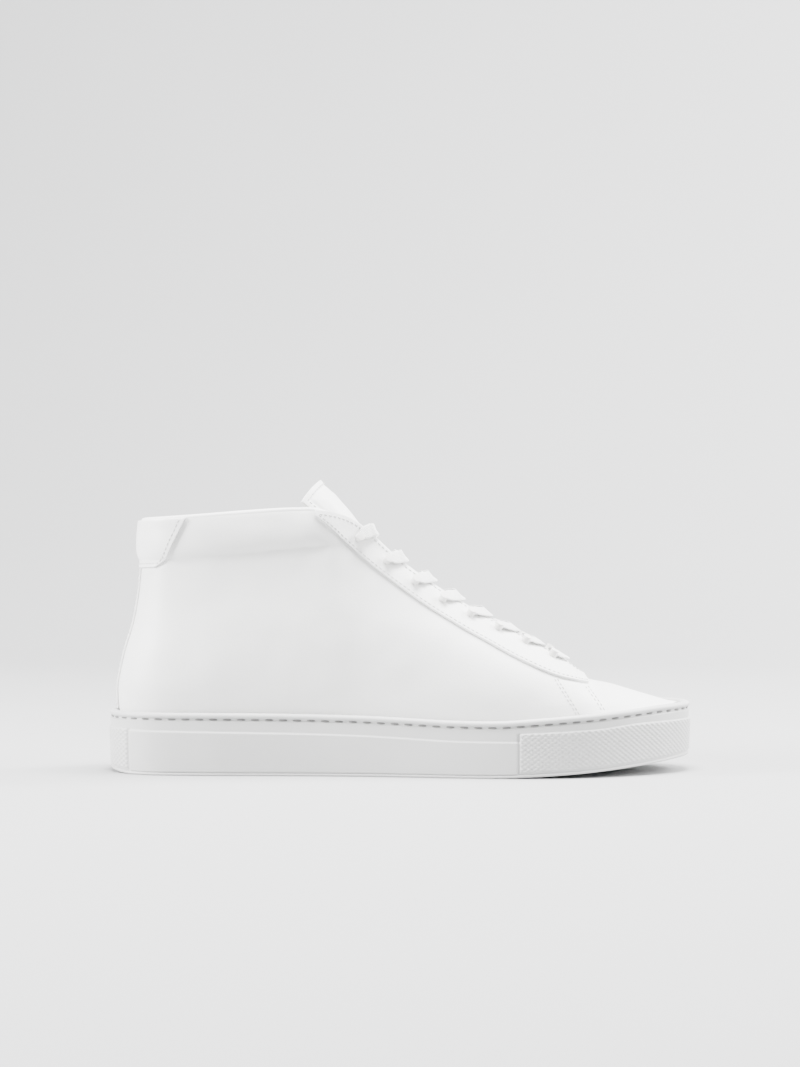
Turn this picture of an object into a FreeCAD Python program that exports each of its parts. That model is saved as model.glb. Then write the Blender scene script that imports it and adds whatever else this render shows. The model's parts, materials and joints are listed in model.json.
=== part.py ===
import FreeCAD
import Part
import math
import os

# A right-foot leather high top on a rubber cupsole, in millimetres.
# +X points to the toe, -Y to the outer (lateral) side, +Z up. The origin is under the middle of the
# shoe, on the ground.

V = FreeCAD.Vector
LATERAL, MEDIAL = -1, 1

# ---------------------------------------------------------------- driving dimensions
HALF_LENGTH = 150.0
LEATHER = 1.3  # thickness of an outer leather
LAYER_GAP = 0.15  # glue line between two layers
OVERLAY = LEATHER + LAYER_GAP  # how far an applied piece stands out of the quarter
LOOSE = 0.35  # room round the hidden stiffeners and the padding
LINING = 0.9
COLLAR_PADDING = 3.4
COUNTER = 1.4
PUFF = 0.8
TAPE = 0.5

CUP_WALL = 5.0  # rubber between the upper and the outside of the sole
CUP_FLOOR = 5.0
CUP_HEIGHT = 34.0
CUP_DRAFT = 1.4  # how far the wall leans in over that height
SOLE_ZONE = (-5.0, 60.0)  # heights between which the sole's outlines are drawn
FIT = 0.45  # room between the upper and the cup
LIP_DEPTH = 1.0  # the upper's visible side starts this far under the lip
TUCK = 0.6  # the upper leans in by this much inside the cup
FILLER_TOP_HEEL = 12.5
FILLER_TOP_TOE = 7.5
BOARD = 1.8
FOOTBED_FOAM = 4.0
FOOTBED_COVER = 1.0
BOARD_INSET = 6.0  # from the outside of the upper to the lasting board
BOND = 0.1  # glue line between two layers of the sole
FILLER_INSET = 0.8
TOE_SPRING = 8.4
HEEL_BEVEL = 2.0
FLAT = (-136.0, 40.0)  # the outsole is level between these

STITCH_PITCH = 7.0
STITCH = (4.6, 0.8, 1.0)  # length, thickness and height of a sole stitch
STITCH_SEAT = 0.45  # from the bottom of the groove to the middle of a stitch
GROOVE_DEPTH = 1.3
GROOVE = (4.3, 2.3)  # the stitch groove runs this far below the lip, from and to

EYELETS = 8
FIRST_EYELET_X = -21.4
EYELET_PITCH_X = 14.05
EYELET_INSET = 7.6  # from the throat edge to an eyelet's centre
EYELET_R = 2.1
HOLE_REACH = 5.0  # a hole is cut from this far outside to this far inside the upper

LACE = (7.0, 1.1)  # width and thickness of the flat lace
LACE_NECK = (2.3, 1.9)  # the same lace bunched up in a hole
LACE_GATHER = (4.2, 1.4)  # and gathered on the inside of a hole
LACE_AHEAD, LACE_BEHIND = 0.09, 0.12  # ribs towards the toe or the heel, hole to throat edge
LACE_INSIDE = 1.2  # from the lining to the middle of the gathered lace
LACE_LIFT = 1.1  # from a surface to the middle of the lace lying on it
LACE_CROSS = 2.4  # how far the upper of two crossing runs is lifted
# From a hole to the throat edge: share of the way, extra lift, width.
LACE_RISE = [(0.2, 0.6, 4.4), (0.45, 0.6, 6.6), (0.72, 0.5, 7.0), (1.0, 0.3, 7.0), (1.4, 0.2, 7.0)]
# The tucked end goes from the top hole by so many ribs back and so much of a rib down.
LACE_END_ROUTE = [(0.35, 0.02), (0.9, 0.08), (1.35, 0.2), (1.6, 0.36)]
LACE_END_ROUTE += [(1.75, 0.52), (2.0, 0.66), (2.5, 0.75), (3.1, 0.78)]
AGLET_R = 1.3
AGLET_LENGTH = 22.0

# ---------------------------------------------------------------- outlines
# The top of the sole's lip seen from the side: (x, z).
LIP_LINE = [(-150, 31.6), (-76, 31.5), (-25, 30.7), (0, 29.8), (25, 28.7), (50, 28.6)]
LIP_LINE += [(70, 29.9), (85, 31.0), (100, 32.1), (116, 33.5), (133, 35.0), (150, 35.6)]

# Ribs of the upper from the back seam to the toe tip. Each row holds the foot of the rib on the
# lateral side (x, y) and on the medial side (x, y), its top (x, half width, z), and three swellings
# out of the straight line between them, low, middle and high on the rib.
RIBS = [
    (-144.8, 0.0, -144.8, 0.0, -133.9, 0.0, 128.6, 7.0, -7.4, -5.0),
    (-140.3, 16.5, -140.3, 16.3, -130.5, 15.5, 128.9, 7.5, -6.0, -5.0),
    (-125.5, 27.8, -125.5, 27.5, -120.0, 25.5, 129.4, 8.0, -3.5, -4.0),
    (-102.0, 31.5, -102.0, 31.0, -101.0, 30.5, 130.6, 8.0, -1.0, -4.0),
    (-76.0, 32.5, -76.0, 30.8, -76.0, 32.2, 132.6, 8.0, 0.0, -3.5),
    (-52.0, 33.2, -52.0, 29.8, -54.0, 32.4, 133.9, 8.0, 1.0, -2.5),
    (-32.0, 34.5, -32.0, 29.4, -37.0, 30.5, 133.2, 8.0, 3.5, 0.0),
    (-13.0, 36.6, -13.0, 30.4, -21.5, 22.5, 126.7, 8.5, 6.5, 3.0),
    (8.0, 40.2, 8.0, 33.0, -1.0, 18.8, 108.2, 9.5, 9.5, 6.0),
    (30.0, 44.4, 30.0, 37.6, 21.0, 16.8, 92.2, 10.5, 12.0, 8.0),
    (52.0, 47.2, 52.0, 42.6, 44.0, 15.0, 78.2, 11.5, 14.0, 9.0),
    (73.0, 47.2, 73.0, 47.0, 66.0, 13.0, 66.2, 10.5, 13.0, 8.0),
    (90.0, 44.7, 90.0, 46.3, 83.0, 9.8, 56.6, 8.5, 11.0, 6.0),
    (104.0, 39.6, 104.0, 42.2, 94.5, 0.0, 48.8, 7.5, 9.0, 5.4),
    (117.0, 32.8, 117.0, 36.8, 108.0, 0.0, 44.8, 6.0, 6.6, 3.8),
    (129.0, 24.3, 129.0, 30.0, 121.0, 0.0, 40.8, 4.5, 4.6, 2.4),
    (138.0, 15.0, 138.0, 22.4, 132.5, 0.0, 37.3, 3.0, 3.0, 1.3),
    (143.2, 6.6, 143.2, 14.6, 141.0, 0.0, 34.2, 1.6, 1.5, 0.6),
    (144.9, -1.0, 144.9, 7.0, 145.2, 0.0, 33.0, 0.4, 0.4, 0.2),
]
TOE_SHIFT = 4.0  # the toe tip lies this far to the medial side
TOE_SHIFT_FROM = 13.0  # the rib at which the shift begins
THROAT_END = 13.0  # the rib at which the two throat edges meet
TOE_END = 18.0
HEEL_ROUND = 3.0  # the rib where the round of the heel ends

# Edges of the applied leathers seen from the side: (x, z).
EYESTAY_EDGE = [(-46.5, 134.6), (-36.8, 126.1), (-16.8, 108.1), (3.2, 92.1), (23.2, 78.7)]
EYESTAY_EDGE += [(43.2, 67.1), (63.2, 56.5), (79.2, 50.1), (97.0, 45.6)]
LINING_CORNER = 0.2  # v by which the vamp lining cuts the corner on each side
EYESTAY_START = 5.62  # the rib where the eyestay's rear corner lies
HEEL_TAB_DROP = 0.245  # share of the rib that the heel tab covers
HEEL_TAB_RIBS = (2.72, 1.95)  # how far round its top edge and its lower edge reach
BACKSTAY_RIBS = 0.27

# The tongue's outer face: (x, z) down the middle, radius across, half width.
TONGUE = [
    (99.0, 41.4, 50.0, 11.0),
    (84.0, 48.4, 46.0, 13.0),
    (66.0, 58.8, 42.0, 16.0),
    (48.0, 69.2, 38.0, 18.0),
    (31.0, 79.8, 35.0, 19.0),
    (15.0, 91.0, 33.0, 19.8),
    (0.0, 103.2, 31.0, 19.6),
    (-14.0, 117.8, 29.0, 20.4),
    (-27.3, 134.2, 28.5, 22.6),
    (-40.7, 150.0, 30.0, 25.6),
]
TONGUE_LAYERS = {"face": (0.0, 1.1), "foam": (1.2, 3.7), "lining": (3.8, 4.6)}
TONGUE_ENDS = (0.0, 9.0)
TONGUE_SEAM = 3.5  # the foam stops this far inside the tongue's edge
FLEX_AT = 8.06  # place of the flex line along TONGUE
FLEX_SLOT = 3.2  # the bending leather between the two stiff stretches
TONGUE_TOP_SAG = 3.0  # the top corners lie this much lower than the middle


# ---------------------------------------------------------------- geometry helpers
def smooth(rows, at):
    """The row at a place along a smooth run through rows, counted in rows."""
    last = len(rows) - 1
    i = min(max(int(math.floor(at)), 0), last - 1)
    f = at - i
    start, end = rows[i], rows[i + 1]
    before = rows[i - 1] if i else [2 * a - b for a, b in zip(start, end)]
    after = rows[i + 2] if i + 2 <= last else [2 * b - a for a, b in zip(start, end)]
    found = []
    for p, q, r, s in zip(before, start, end, after):
        bend = 2 * p - 5 * q + 4 * r - s + f * (3 * (q - r) + s - p)
        found.append(q + 0.5 * f * (r - p + f * bend))
    return found


def height(line, x):
    """z at x on the smooth line through (x, z) points."""
    i = 0
    while i < len(line) - 2 and x > line[i + 1][0]:
        i += 1

    def slope(k):
        a, b = line[max(k - 1, 0)], line[min(k + 1, len(line) - 1)]
        return (b[1] - a[1]) / (b[0] - a[0])

    (x0, z0), (x1, z1) = line[i], line[i + 1]
    span = x1 - x0
    f = min(max((x - x0) / span, 0.0), 1.0)
    rise = z1 - z0
    first, second = slope(i) * span, slope(i + 1) * span
    return z0 + f * (first + f * (3 * rise - 2 * first - second + f * (first + second - 2 * rise)))


def ramp(value, start, end):
    """0 before start, 1 after end, and smooth between."""
    f = min(max((value - start) / (end - start), 0.0), 1.0)
    return f * f * (3 - 2 * f)


def ground(x):
    """Height of the outsole's underside over the ground."""
    spring = TOE_SPRING * (max(x - FLAT[1], 0.0) / (HALF_LENGTH - FLAT[1])) ** 1.7
    bevel = HEEL_BEVEL * (max(FLAT[0] - x, 0.0) / (HALF_LENGTH + FLAT[0])) ** 2
    return spring + bevel


def board_under(x):
    """Height of the lasting board's underside."""
    return ground(x) + FILLER_TOP_TOE + (FILLER_TOP_HEEL - FILLER_TOP_TOE) * (
        1 - ramp(x, -60.0, 60.0)
    )


def rib(side, s):
    """Foot, top and the three swellings of the rib at s on one side."""
    mirrored = [-n if i in (1, 3, 5) else n for i, n in enumerate(RIBS[1])]
    row = smooth([mirrored] + RIBS, s + 1)
    x, y = (row[0], row[1]) if side == LATERAL else (row[2], row[3])
    half = row[5]
    if s > THROAT_END - 1:
        left = max(1 - (s - THROAT_END + 1) ** 2, 0.0)
        half = RIBS[int(THROAT_END) - 1][5] * left**0.75
    shift = TOE_SHIFT * ramp(s, TOE_SHIFT_FROM, TOE_END)
    foot = V(x, side * y, height(LIP_LINE, x) - LIP_DEPTH)
    return foot, V(row[4], side * half + shift, row[6]), row[7:10]


def on_rib(side, s, v):
    """A point of the upper's outside: v is -1 under the board, 0 in the sole's lip, 1 at the top."""
    foot, top, swell = rib(side, s)
    if v < 0:
        return foot + V(0, -side * TUCK * -v, v * (foot.z - board_under(foot.x)))
    round_heel = math.copysign(1 - (1 - min(abs(s), HEEL_ROUND) / HEEL_ROUND) ** 1.6, s)
    turn = math.pi / 2 * round_heel
    facing = V(-math.cos(turn), side * math.sin(turn), 0)
    chord = top - foot
    run = V(chord).normalize()
    out = (facing - run * facing.dot(run)).normalize()
    w = 1 - v
    bulge = 4 * v * w**3 * swell[0] + 6 * v * v * w * w * swell[1] + 4 * v**3 * w * swell[2]
    return foot + chord * v + out * bulge


def upper(side, s, v, depth):
    """The point at a depth under the upper's outside, or over it where depth is negative."""
    step = 0.02
    along = on_rib(side, s + step, v) - on_rib(side, s - step, v)
    up = on_rib(side, s, v + step) - on_rib(side, s, v - step)
    inward = (along.cross(up) * side).normalize()
    return on_rib(side, s, v) + inward * depth


def share(low, high, count):
    """count + 1 evenly spaced numbers."""
    return [low + (high - low) * i / count for i in range(count + 1)]


def rib_place(line, side, s):
    """v where the rib at s crosses a line drawn on the side view."""
    low, high = 0.0, 1.0
    for _ in range(24):
        v = (low + high) / 2
        point = on_rib(side, s, v)
        if point.z < height(line, point.x):
            low = v
        else:
            high = v
    return v


def below_edge(side, s, distance):
    """v at a distance down the rib from its top."""
    v = 1.0
    point = on_rib(side, s, v)
    while distance > 0:
        v -= 0.004
        lower = on_rib(side, s, v)
        distance -= (lower - point).Length
        point = lower
    return v


def surface_through(grid, across, up):
    """The smooth surface through a grid of points, one row for each of across, one column for each of up."""

    def fitted(points, places):
        curve = Part.BSplineCurve()
        curve.interpolate(Points=points, Parameters=places)
        return curve

    rows = [fitted(row, up) for row in grid]
    columns = [fitted(list(column), across) for column in zip(*[row.getPoles() for row in rows])]
    poles = [list(row) for row in zip(*[column.getPoles() for column in columns])]
    surface = Part.BSplineSurface()
    surface.buildFromPolesMultsKnots(
        poles,
        columns[0].getMultiplicities(),
        rows[0].getMultiplicities(),
        columns[0].getKnots(),
        rows[0].getKnots(),
        False,
        False,
        columns[0].Degree,
        rows[0].Degree,
    )
    return surface


def solid_of(outer, inner, across, up):
    """The closed solid between two grids of points."""
    surfaces = [surface_through(grid, across, up) for grid in (outer, inner)]
    faces = [surface.toShape() for surface in surfaces]
    u0, u1, v0, v1 = surfaces[0].bounds()
    pairs = [[surface.uIso(u) for surface in surfaces] for u in (u0, u1)]
    pairs += [[surface.vIso(v) for surface in surfaces] for v in (v0, v1)]
    faces += [Part.makeRuledSurface(a.toShape(), b.toShape(), 1) for a, b in pairs]
    shell = Part.makeShell(faces)
    shell.sewShape()
    solid = Part.Solid(Part.Shell(shell.Faces))
    if solid.Volume < 0:
        solid.reverse()
    return solid


def panel(place, over, under, across, up):
    """A sheet of the upper. place gives (side, s, v) for a spot on it, over and under its depths."""

    def grid(depth):
        rows = []
        for a in across:
            spots = [place(a, b) for b in up]
            rows.append([upper(*spot, depth(*spot)) for spot in spots])
        return rows

    return solid_of(grid(over), grid(under), across, up)


def at_depth(depth):
    """A depth that is the same all over a panel."""
    return lambda side, s, v: depth


def lining_over(side, s, v):
    """Depth of the lining's outer face: it goes round the padding and the heel counter."""
    round_collar = 1 - ramp(s, 3.9, 5.0)
    padding = COLLAR_PADDING * round_collar * ramp(v, 0.66, 0.86) * (1 - ramp(v, 0.92, 1.0) * 0.75)
    counter = (COUNTER + LOOSE) * (1 - ramp(s, 4.2, 4.7)) * (1 - ramp(v, 0.48, 0.62))
    tape = (TAPE + LOOSE) * ramp(s, 5.6, 6.4)
    return OVERLAY + padding + counter + tape


def lining_under(side, s, v):
    return lining_over(side, s, v) + LINING


# ---------------------------------------------------------------- sole helpers
def outline(out, step=0.5):
    """The upper's foot seen from above, moved out by a distance, as a closed run of (x, y)."""
    points = []
    for side in (LATERAL, MEDIAL):
        count = int(TOE_END / step)
        run = []
        for i in range(count + 1):
            s = i * step
            foot = rib(side, s)[0]
            way = rib(side, s + 0.02)[0] - rib(side, s - 0.02)[0]
            length = math.hypot(way.x, way.y)
            run.append((foot.x - side * out * way.y / length, foot.y + side * out * way.x / length))
        points += run if side == LATERAL else run[::-1][:-1]
    return points


def ring(out, z):
    """A closed horizontal wire round the shoe."""
    curve = Part.BSplineCurve()
    curve.interpolate([V(x, y, z) for x, y in outline(out)], PeriodicFlag=True)
    return Part.Wire(curve.toShape())


def prism(out_low, out_high):
    """Everything inside the outline, moved out by one distance at the bottom and another at the top."""
    low, high = SOLE_ZONE
    return Part.makeLoft([ring(out_low, low), ring(out_high, high)], True, True)


def profile(points):
    """An edge through points: straight where they all lie level."""
    if len({point.z for point in points}) == 1:
        return Part.makeLine(points[0], points[-1])
    curve = Part.BSplineCurve()
    curve.interpolate(points)
    return curve.toShape()


def slab(under, over):
    """Everything between two heights that depend on x only."""
    back, front, half = -160.0, 160.0, 80.0
    runs = [share(back, FLAT[0], 4), share(FLAT[0], FLAT[1], 16), share(FLAT[1], front, 12)]
    edges = []
    for line in (under, over):
        edges += [profile([V(x, -half, line(x)) for x in run]) for run in runs]
    for x in (back, front):
        edges.append(Part.makeLine(V(x, -half, under(x)), V(x, -half, over(x))))
    wire = Part.Wire(Part.__sortEdges__(edges))
    return Part.Face(wire).extrude(V(0, 2 * half, 0))


# ---------------------------------------------------------------- sole unit
def lip(x):
    return height(LIP_LINE, x)


def cup_floor(x):
    return ground(x) + CUP_FLOOR


def cup_wall(out=CUP_WALL):
    """The outside of the sole, leaning in towards the ground."""
    return prism(*[out - CUP_DRAFT * (1 - z / CUP_HEIGHT) for z in SOLE_ZONE])


def cupsole():
    block = cup_wall().common(slab(ground, lip))
    hollow = prism(FIT, FIT).common(slab(cup_floor, lambda x: 2 * CUP_HEIGHT))
    band = slab(lambda x: lip(x) - GROOVE[0], lambda x: lip(x) - GROOVE[1])
    groove = band.cut(cup_wall(CUP_WALL - GROOVE_DEPTH))
    return block.cut(hollow).cut(groove)


def sole_stitching():
    """One short box for each stitch, lying in the groove."""
    points = outline(CUP_WALL - GROOVE_DEPTH + STITCH_SEAT, step=0.25)
    path = Part.BSplineCurve()
    path.interpolate([V(x, y, 0) for x, y in points], PeriodicFlag=True)
    count = round(path.length() / STITCH_PITCH)
    stitches = []
    for i in range(count):
        at = path.parameterAtDistance((i + 0.5) * path.length() / count)
        middle = path.value(at)
        way = path.tangent(at)[0]
        middle.z = lip(middle.x) - (GROOVE[0] + GROOVE[1]) / 2
        box = Part.makeBox(*STITCH, V(-STITCH[0] / 2, -STITCH[1] / 2, -STITCH[2] / 2))
        slope = math.atan2(lip(middle.x + 2) - lip(middle.x - 2), 4) * way.x
        box.rotate(V(), V(0, 1, 0), -math.degrees(slope))
        box.rotate(V(), V(0, 0, 1), math.degrees(math.atan2(way.y, way.x)))
        box.translate(middle)
        stitches.append(box)
    return Part.makeCompound(stitches)


def layer(under, over, inset):
    """A sheet that fills the outline, less a margin, between two heights."""
    return prism(-inset, -inset).common(slab(under, over))


def filler_under(x):
    return cup_floor(x) + BOND


def filler_over(x):
    return board_under(x) - BOND


def board_over(x):
    return board_under(x) + BOARD


def foam_under(x):
    return board_over(x) + BOND


def foam_over(x):
    return board_over(x) + FOOTBED_FOAM


def footbed_under(x):
    return foam_over(x) + BOND


def footbed_over(x):
    return foam_over(x) + FOOTBED_COVER


# ---------------------------------------------------------------- outside of the upper
WALL_V = [-1.0, -0.6, -0.25, -0.06, 0.0, 0.05, 0.13, 0.24, 0.36, 0.48, 0.58]
WALL_V += [0.64, 0.69, 0.74, 0.79, 0.84, 0.89, 0.92, 0.96, 1.0]


def quarter(side):
    ribs = share(0.02, 12.0, 24) + [12.3, 12.6, 12.8, 12.97]
    return panel(lambda s, v: (side, s, v), at_depth(0.0), at_depth(LEATHER), ribs, WALL_V)


def over_toe(s, a):
    """Spots over the toe: a runs from -1, under the board on one side, to 1, on the other."""
    return (LATERAL if a < 0 else MEDIAL, s, 1 - 2 * abs(a))


def arch(low_v):
    """Spots up one side and down the other, from v at low_v."""
    rise = [(1 - v) / 2 for v in WALL_V if v >= low_v]
    return [-a for a in rise] + rise[::-1][1:]


def vamp():
    ribs = share(13.03, TOE_END, 14)
    return panel(over_toe, at_depth(0.0), at_depth(LEATHER), ribs, arch(-1.0))


def eyestay(side):
    ribs = share(EYESTAY_START, 12.0, 16) + [12.3, 12.6, 12.8, 12.96]

    def place(s, b):
        low = min(rib_place(EYESTAY_EDGE, side, s), 0.985)
        return side, s, low + (1 - low) * b

    return panel(place, at_depth(-OVERLAY), at_depth(-LAYER_GAP), ribs, share(0.0, 1.0, 5))


def heel_tab():
    def place(a, b):
        reach = HEEL_TAB_RIBS[1] + (HEEL_TAB_RIBS[0] - HEEL_TAB_RIBS[1]) * b
        return (LATERAL if a < 0 else MEDIAL, abs(a) * reach, 1 - HEEL_TAB_DROP * (1 - b))

    return panel(place, at_depth(-OVERLAY), at_depth(-LAYER_GAP), share(-1, 1, 16), share(0, 1, 6))


def backstay():
    low = (LIP_DEPTH + 0.6) / (RIBS[0][6] - LIP_LINE[0][1] + LIP_DEPTH)
    high = 1 - HEEL_TAB_DROP - 0.012

    def place(a, b):
        return (LATERAL if a < 0 else MEDIAL, abs(a), low + (high - low) * b)

    across = share(-BACKSTAY_RIBS, BACKSTAY_RIBS, 6)
    return panel(place, at_depth(-OVERLAY), at_depth(-LAYER_GAP), across, share(0, 1, 10))


# ---------------------------------------------------------------- inside of the upper
def lining(side):
    ribs = share(0.02, 12.6, 28)
    return panel(lambda s, v: (side, s, v), lining_over, lining_under, ribs, WALL_V)


def vamp_lining():
    """It cuts the corner where the upper turns out of the cup."""
    over = OVERLAY + PUFF + LOOSE
    ribs = share(12.75, 17.3, 14)
    rise = [a for a in arch(-1.0) if abs(1 - 2 * abs(a)) > LINING_CORNER]
    return panel(over_toe, at_depth(over), at_depth(over + LINING), ribs, rise)


def toe_puff():
    over = OVERLAY + LAYER_GAP
    return panel(over_toe, at_depth(over), at_depth(over + PUFF), share(14.8, 16.4, 8), arch(0.0))


def both_sides(a, b):
    return (LATERAL if a < 0 else MEDIAL, abs(a), b)


def heel_counter():
    up = [v for v in WALL_V if -0.7 < v < 0.5]
    return panel(both_sides, at_depth(OVERLAY), at_depth(OVERLAY + COUNTER), share(-4.0, 4.0, 24), up)


def collar_foam():
    def under(side, s, v):
        return lining_over(side, s, v) - LOOSE

    up = [v for v in WALL_V if 0.8 < v < 0.99]
    return panel(both_sides, at_depth(OVERLAY), under, share(-4.35, 4.35, 24), up)


def eyelet_tape(side):
    ribs = share(6.75, 11.9, 14)

    def place(s, b):
        outer = below_edge(side, s, 1.5)
        inner = below_edge(side, s, 2 * EYELET_INSET - 1.5)
        return side, s, inner + (outer - inner) * b

    return panel(place, at_depth(OVERLAY), at_depth(OVERLAY + TAPE), ribs, share(0.0, 1.0, 4))


# ---------------------------------------------------------------- lace holes
def eyelet(side, row):
    """Spot of a lace hole, row 0 at the ankle."""
    x = FIRST_EYELET_X + row * EYELET_PITCH_X
    low, high = 6.0, 12.6
    for _ in range(24):
        s = (low + high) / 2
        v = below_edge(side, s, EYELET_INSET)
        if on_rib(side, s, v).x < x:
            low = s
        else:
            high = s
    return side, s, v


def hole_cutter(side):
    cutters = []
    for row in range(EYELETS):
        spot = eyelet(side, row)
        start = upper(*spot, -HOLE_REACH)
        way = upper(*spot, HOLE_REACH) - start
        cutters.append(Part.makeCylinder(EYELET_R, 2 * HOLE_REACH, start, way))
    return Part.makeCompound(cutters)


# ---------------------------------------------------------------- tongue
def tongue_point(at, a, depth):
    """A point of the tongue: at along its length, a across it from -1 to 1, depth under its face."""
    x, z, radius, half = smooth(TONGUE, at)
    ahead, behind = smooth(TONGUE, at + 0.05), smooth(TONGUE, at - 0.05)
    way = V(ahead[0] - behind[0], 0, ahead[1] - behind[1]).normalize()
    out = V(way.z, 0, -way.x)
    angle = math.asin(half / radius) * a
    reach = radius - depth
    middle = V(x, 0, z) - out * radius
    end = ramp(at, FLEX_AT, TONGUE_ENDS[1])
    sag = way * (TONGUE_TOP_SAG * abs(a) ** 3 * end)
    return middle + out * (reach * math.cos(angle)) + V(0, reach * math.sin(angle), 0) - sag


def tongue_shift(at, distance):
    """The place that lies a distance further along the tongue."""
    ahead, behind = smooth(TONGUE, at + 0.05), smooth(TONGUE, at - 0.05)
    return at + distance * 0.1 / math.hypot(ahead[0] - behind[0], ahead[1] - behind[1])


def tongue_piece(name, start, end):
    over, under = TONGUE_LAYERS[name]
    seam = TONGUE_SEAM if name == "foam" else 0.0
    if start == TONGUE_ENDS[0]:
        start = tongue_shift(start, seam)
    if end == TONGUE_ENDS[1]:
        end = tongue_shift(end, -seam)
    rows, widths = share(start, end, 12), share(-1, 1, 10)

    def grid(depth):
        return [[tongue_point(at, a * (1 - seam / smooth(TONGUE, at)[3]), depth) for a in widths] for at in rows]

    return solid_of(grid(over), grid(under), rows, widths)


# ---------------------------------------------------------------- lace
def ribbon(stops):
    """A flat lace through (middle, way out, (width, thickness)) stops."""
    top, bottom, places = [], [], []
    for i, (middle, out, size) in enumerate(stops):
        before, after = stops[max(i - 1, 0)][0], stops[min(i + 1, len(stops) - 1)][0]
        run = (after - middle).normalize() if i == 0 else (middle - before).normalize()
        if 0 < i < len(stops) - 1:
            run = run + (after - middle).normalize()
        across = run.cross(out).normalize() * (size[0] / 2)
        rise = across.cross(run).normalize() * (size[1] / 2)
        top.append([middle - across + rise, middle + across + rise])
        bottom.append([middle - across - rise, middle + across - rise])
        places.append(places[-1] + (middle - before).Length if places else 0.0)
    return solid_of(top, bottom, places, [0.0, 1.0])


def outward(spot):
    return (upper(*spot, -1.0) - upper(*spot, 0.0)).normalize()


def over_tongue(x):
    """The way out of the tongue's middle line where it passes x."""
    low, high = TONGUE_ENDS
    for _ in range(24):
        at = (low + high) / 2
        if smooth(TONGUE, at)[0] > x:
            low = at
        else:
            high = at
    return (tongue_point(at, 0.0, 0.0) - tongue_point(at, 0.0, 1.0)).normalize()


def hole_stops(side, row):
    """The lace in a hole: up through it and over the eyestay to the throat edge."""
    spot = eyelet(side, row)
    _, s, v = spot
    to_edge = (upper(side, s + LACE_AHEAD, 1.0, 0.0) - upper(*spot, 0.0)).normalize()
    depths = (lining_under(*spot) + LAYER_GAP, OVERLAY, 0.0, -OVERLAY)
    stops = [(upper(*spot, depth), to_edge * -1, LACE_NECK) for depth in depths]
    for way, lift, width in LACE_RISE:
        place = (side, s + LACE_AHEAD * way, v + (1 - v) * way)
        out = outward(place) - to_edge * (1 - ramp(way, 0.0, 0.5))
        stops.append((upper(*place, -OVERLAY - LACE_LIFT - lift), out, (width, LACE[1])))
    return stops


def under_stops(side, row):
    """The lace from a hole, between the lining and the tongue, to beyond the throat edge."""
    spot = eyelet(side, row)
    _, s, v = spot
    to_edge = (upper(side, s - LACE_BEHIND, 1.0, 0.0) - upper(*spot, 0.0)).normalize()
    depth = lining_under(*spot)
    start = upper(*spot, depth + LACE_INSIDE) - to_edge * LACE_GATHER[1]
    stops = [(start, outward(spot), LACE_GATHER)]
    for way in (0.4, 1.0, 1.45):
        place = (side, s - LACE_BEHIND * way, v + (1 - v) * way)
        stops.append((upper(*place, depth + LACE[1]), outward(place), LACE))
    return stops


def crossing(side, row):
    """One crossing run: down into a hole on one side, out from under the next hole on the other."""
    over = hole_stops(side, row)
    under = under_stops(-side, row + 1)
    start, end = over[-1][0], under[-1][0]
    out = over_tongue((start.x + end.x) / 2)
    drop = (start - end).dot(out)
    first = 0.5 + side * LACE_CROSS / 2 / drop
    middle = []
    for f in (0.08, 0.16, 0.3, 0.5, 0.7, 0.84, 0.92):
        fallen = first * ramp(f, 0.0, 0.16) + (1 - first) * ramp(f, 0.84, 1.0)
        middle.append((start + (end - start + out * drop) * f - out * drop * fallen, out, LACE))
    return ribbon(over + middle + under[::-1])


def lace_bar():
    """The straight run over the lowest holes."""
    near, far = [hole_stops(side, EYELETS - 1) for side in (LATERAL, MEDIAL)]
    middle = (near[-1][0] + far[-1][0]) / 2
    return ribbon(near + [(middle, over_tongue(middle.x), LACE)] + far[::-1])


def lace_end_route(side):
    """Stops of an end, from the top hole back and down inside the quarter."""
    _, s, v = eyelet(side, 0)
    stops = []
    for ribs, down in LACE_END_ROUTE:
        spot = (side, s - ribs, v - down)
        stops.append((upper(*spot, lining_under(*spot) + LACE[1]), outward(spot), LACE))
    return stops


def lace_end(side):
    spot = eyelet(side, 0)
    start = upper(*spot, lining_under(*spot) + LACE_INSIDE)
    return ribbon([(start, outward(spot), LACE_GATHER)] + lace_end_route(side))


def aglet(side):
    """The sleeve on the lace's tip, in line with its last stretch."""
    stops = lace_end_route(side)
    run = (stops[-1][0] - stops[-2][0]).normalize()
    clear = stops[-1][1] * -(AGLET_R - LACE[1] / 2)
    return Part.makeCylinder(AGLET_R, AGLET_LENGTH, stops[-1][0] + run * 0.1 + clear, run)


def save(name, shape):
    shape.exportStep(f"parts/{name}.step")
    solids = shape.Solids
    print(name, len(solids), all(s.isValid() for s in solids), round(shape.Volume, 1))


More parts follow.
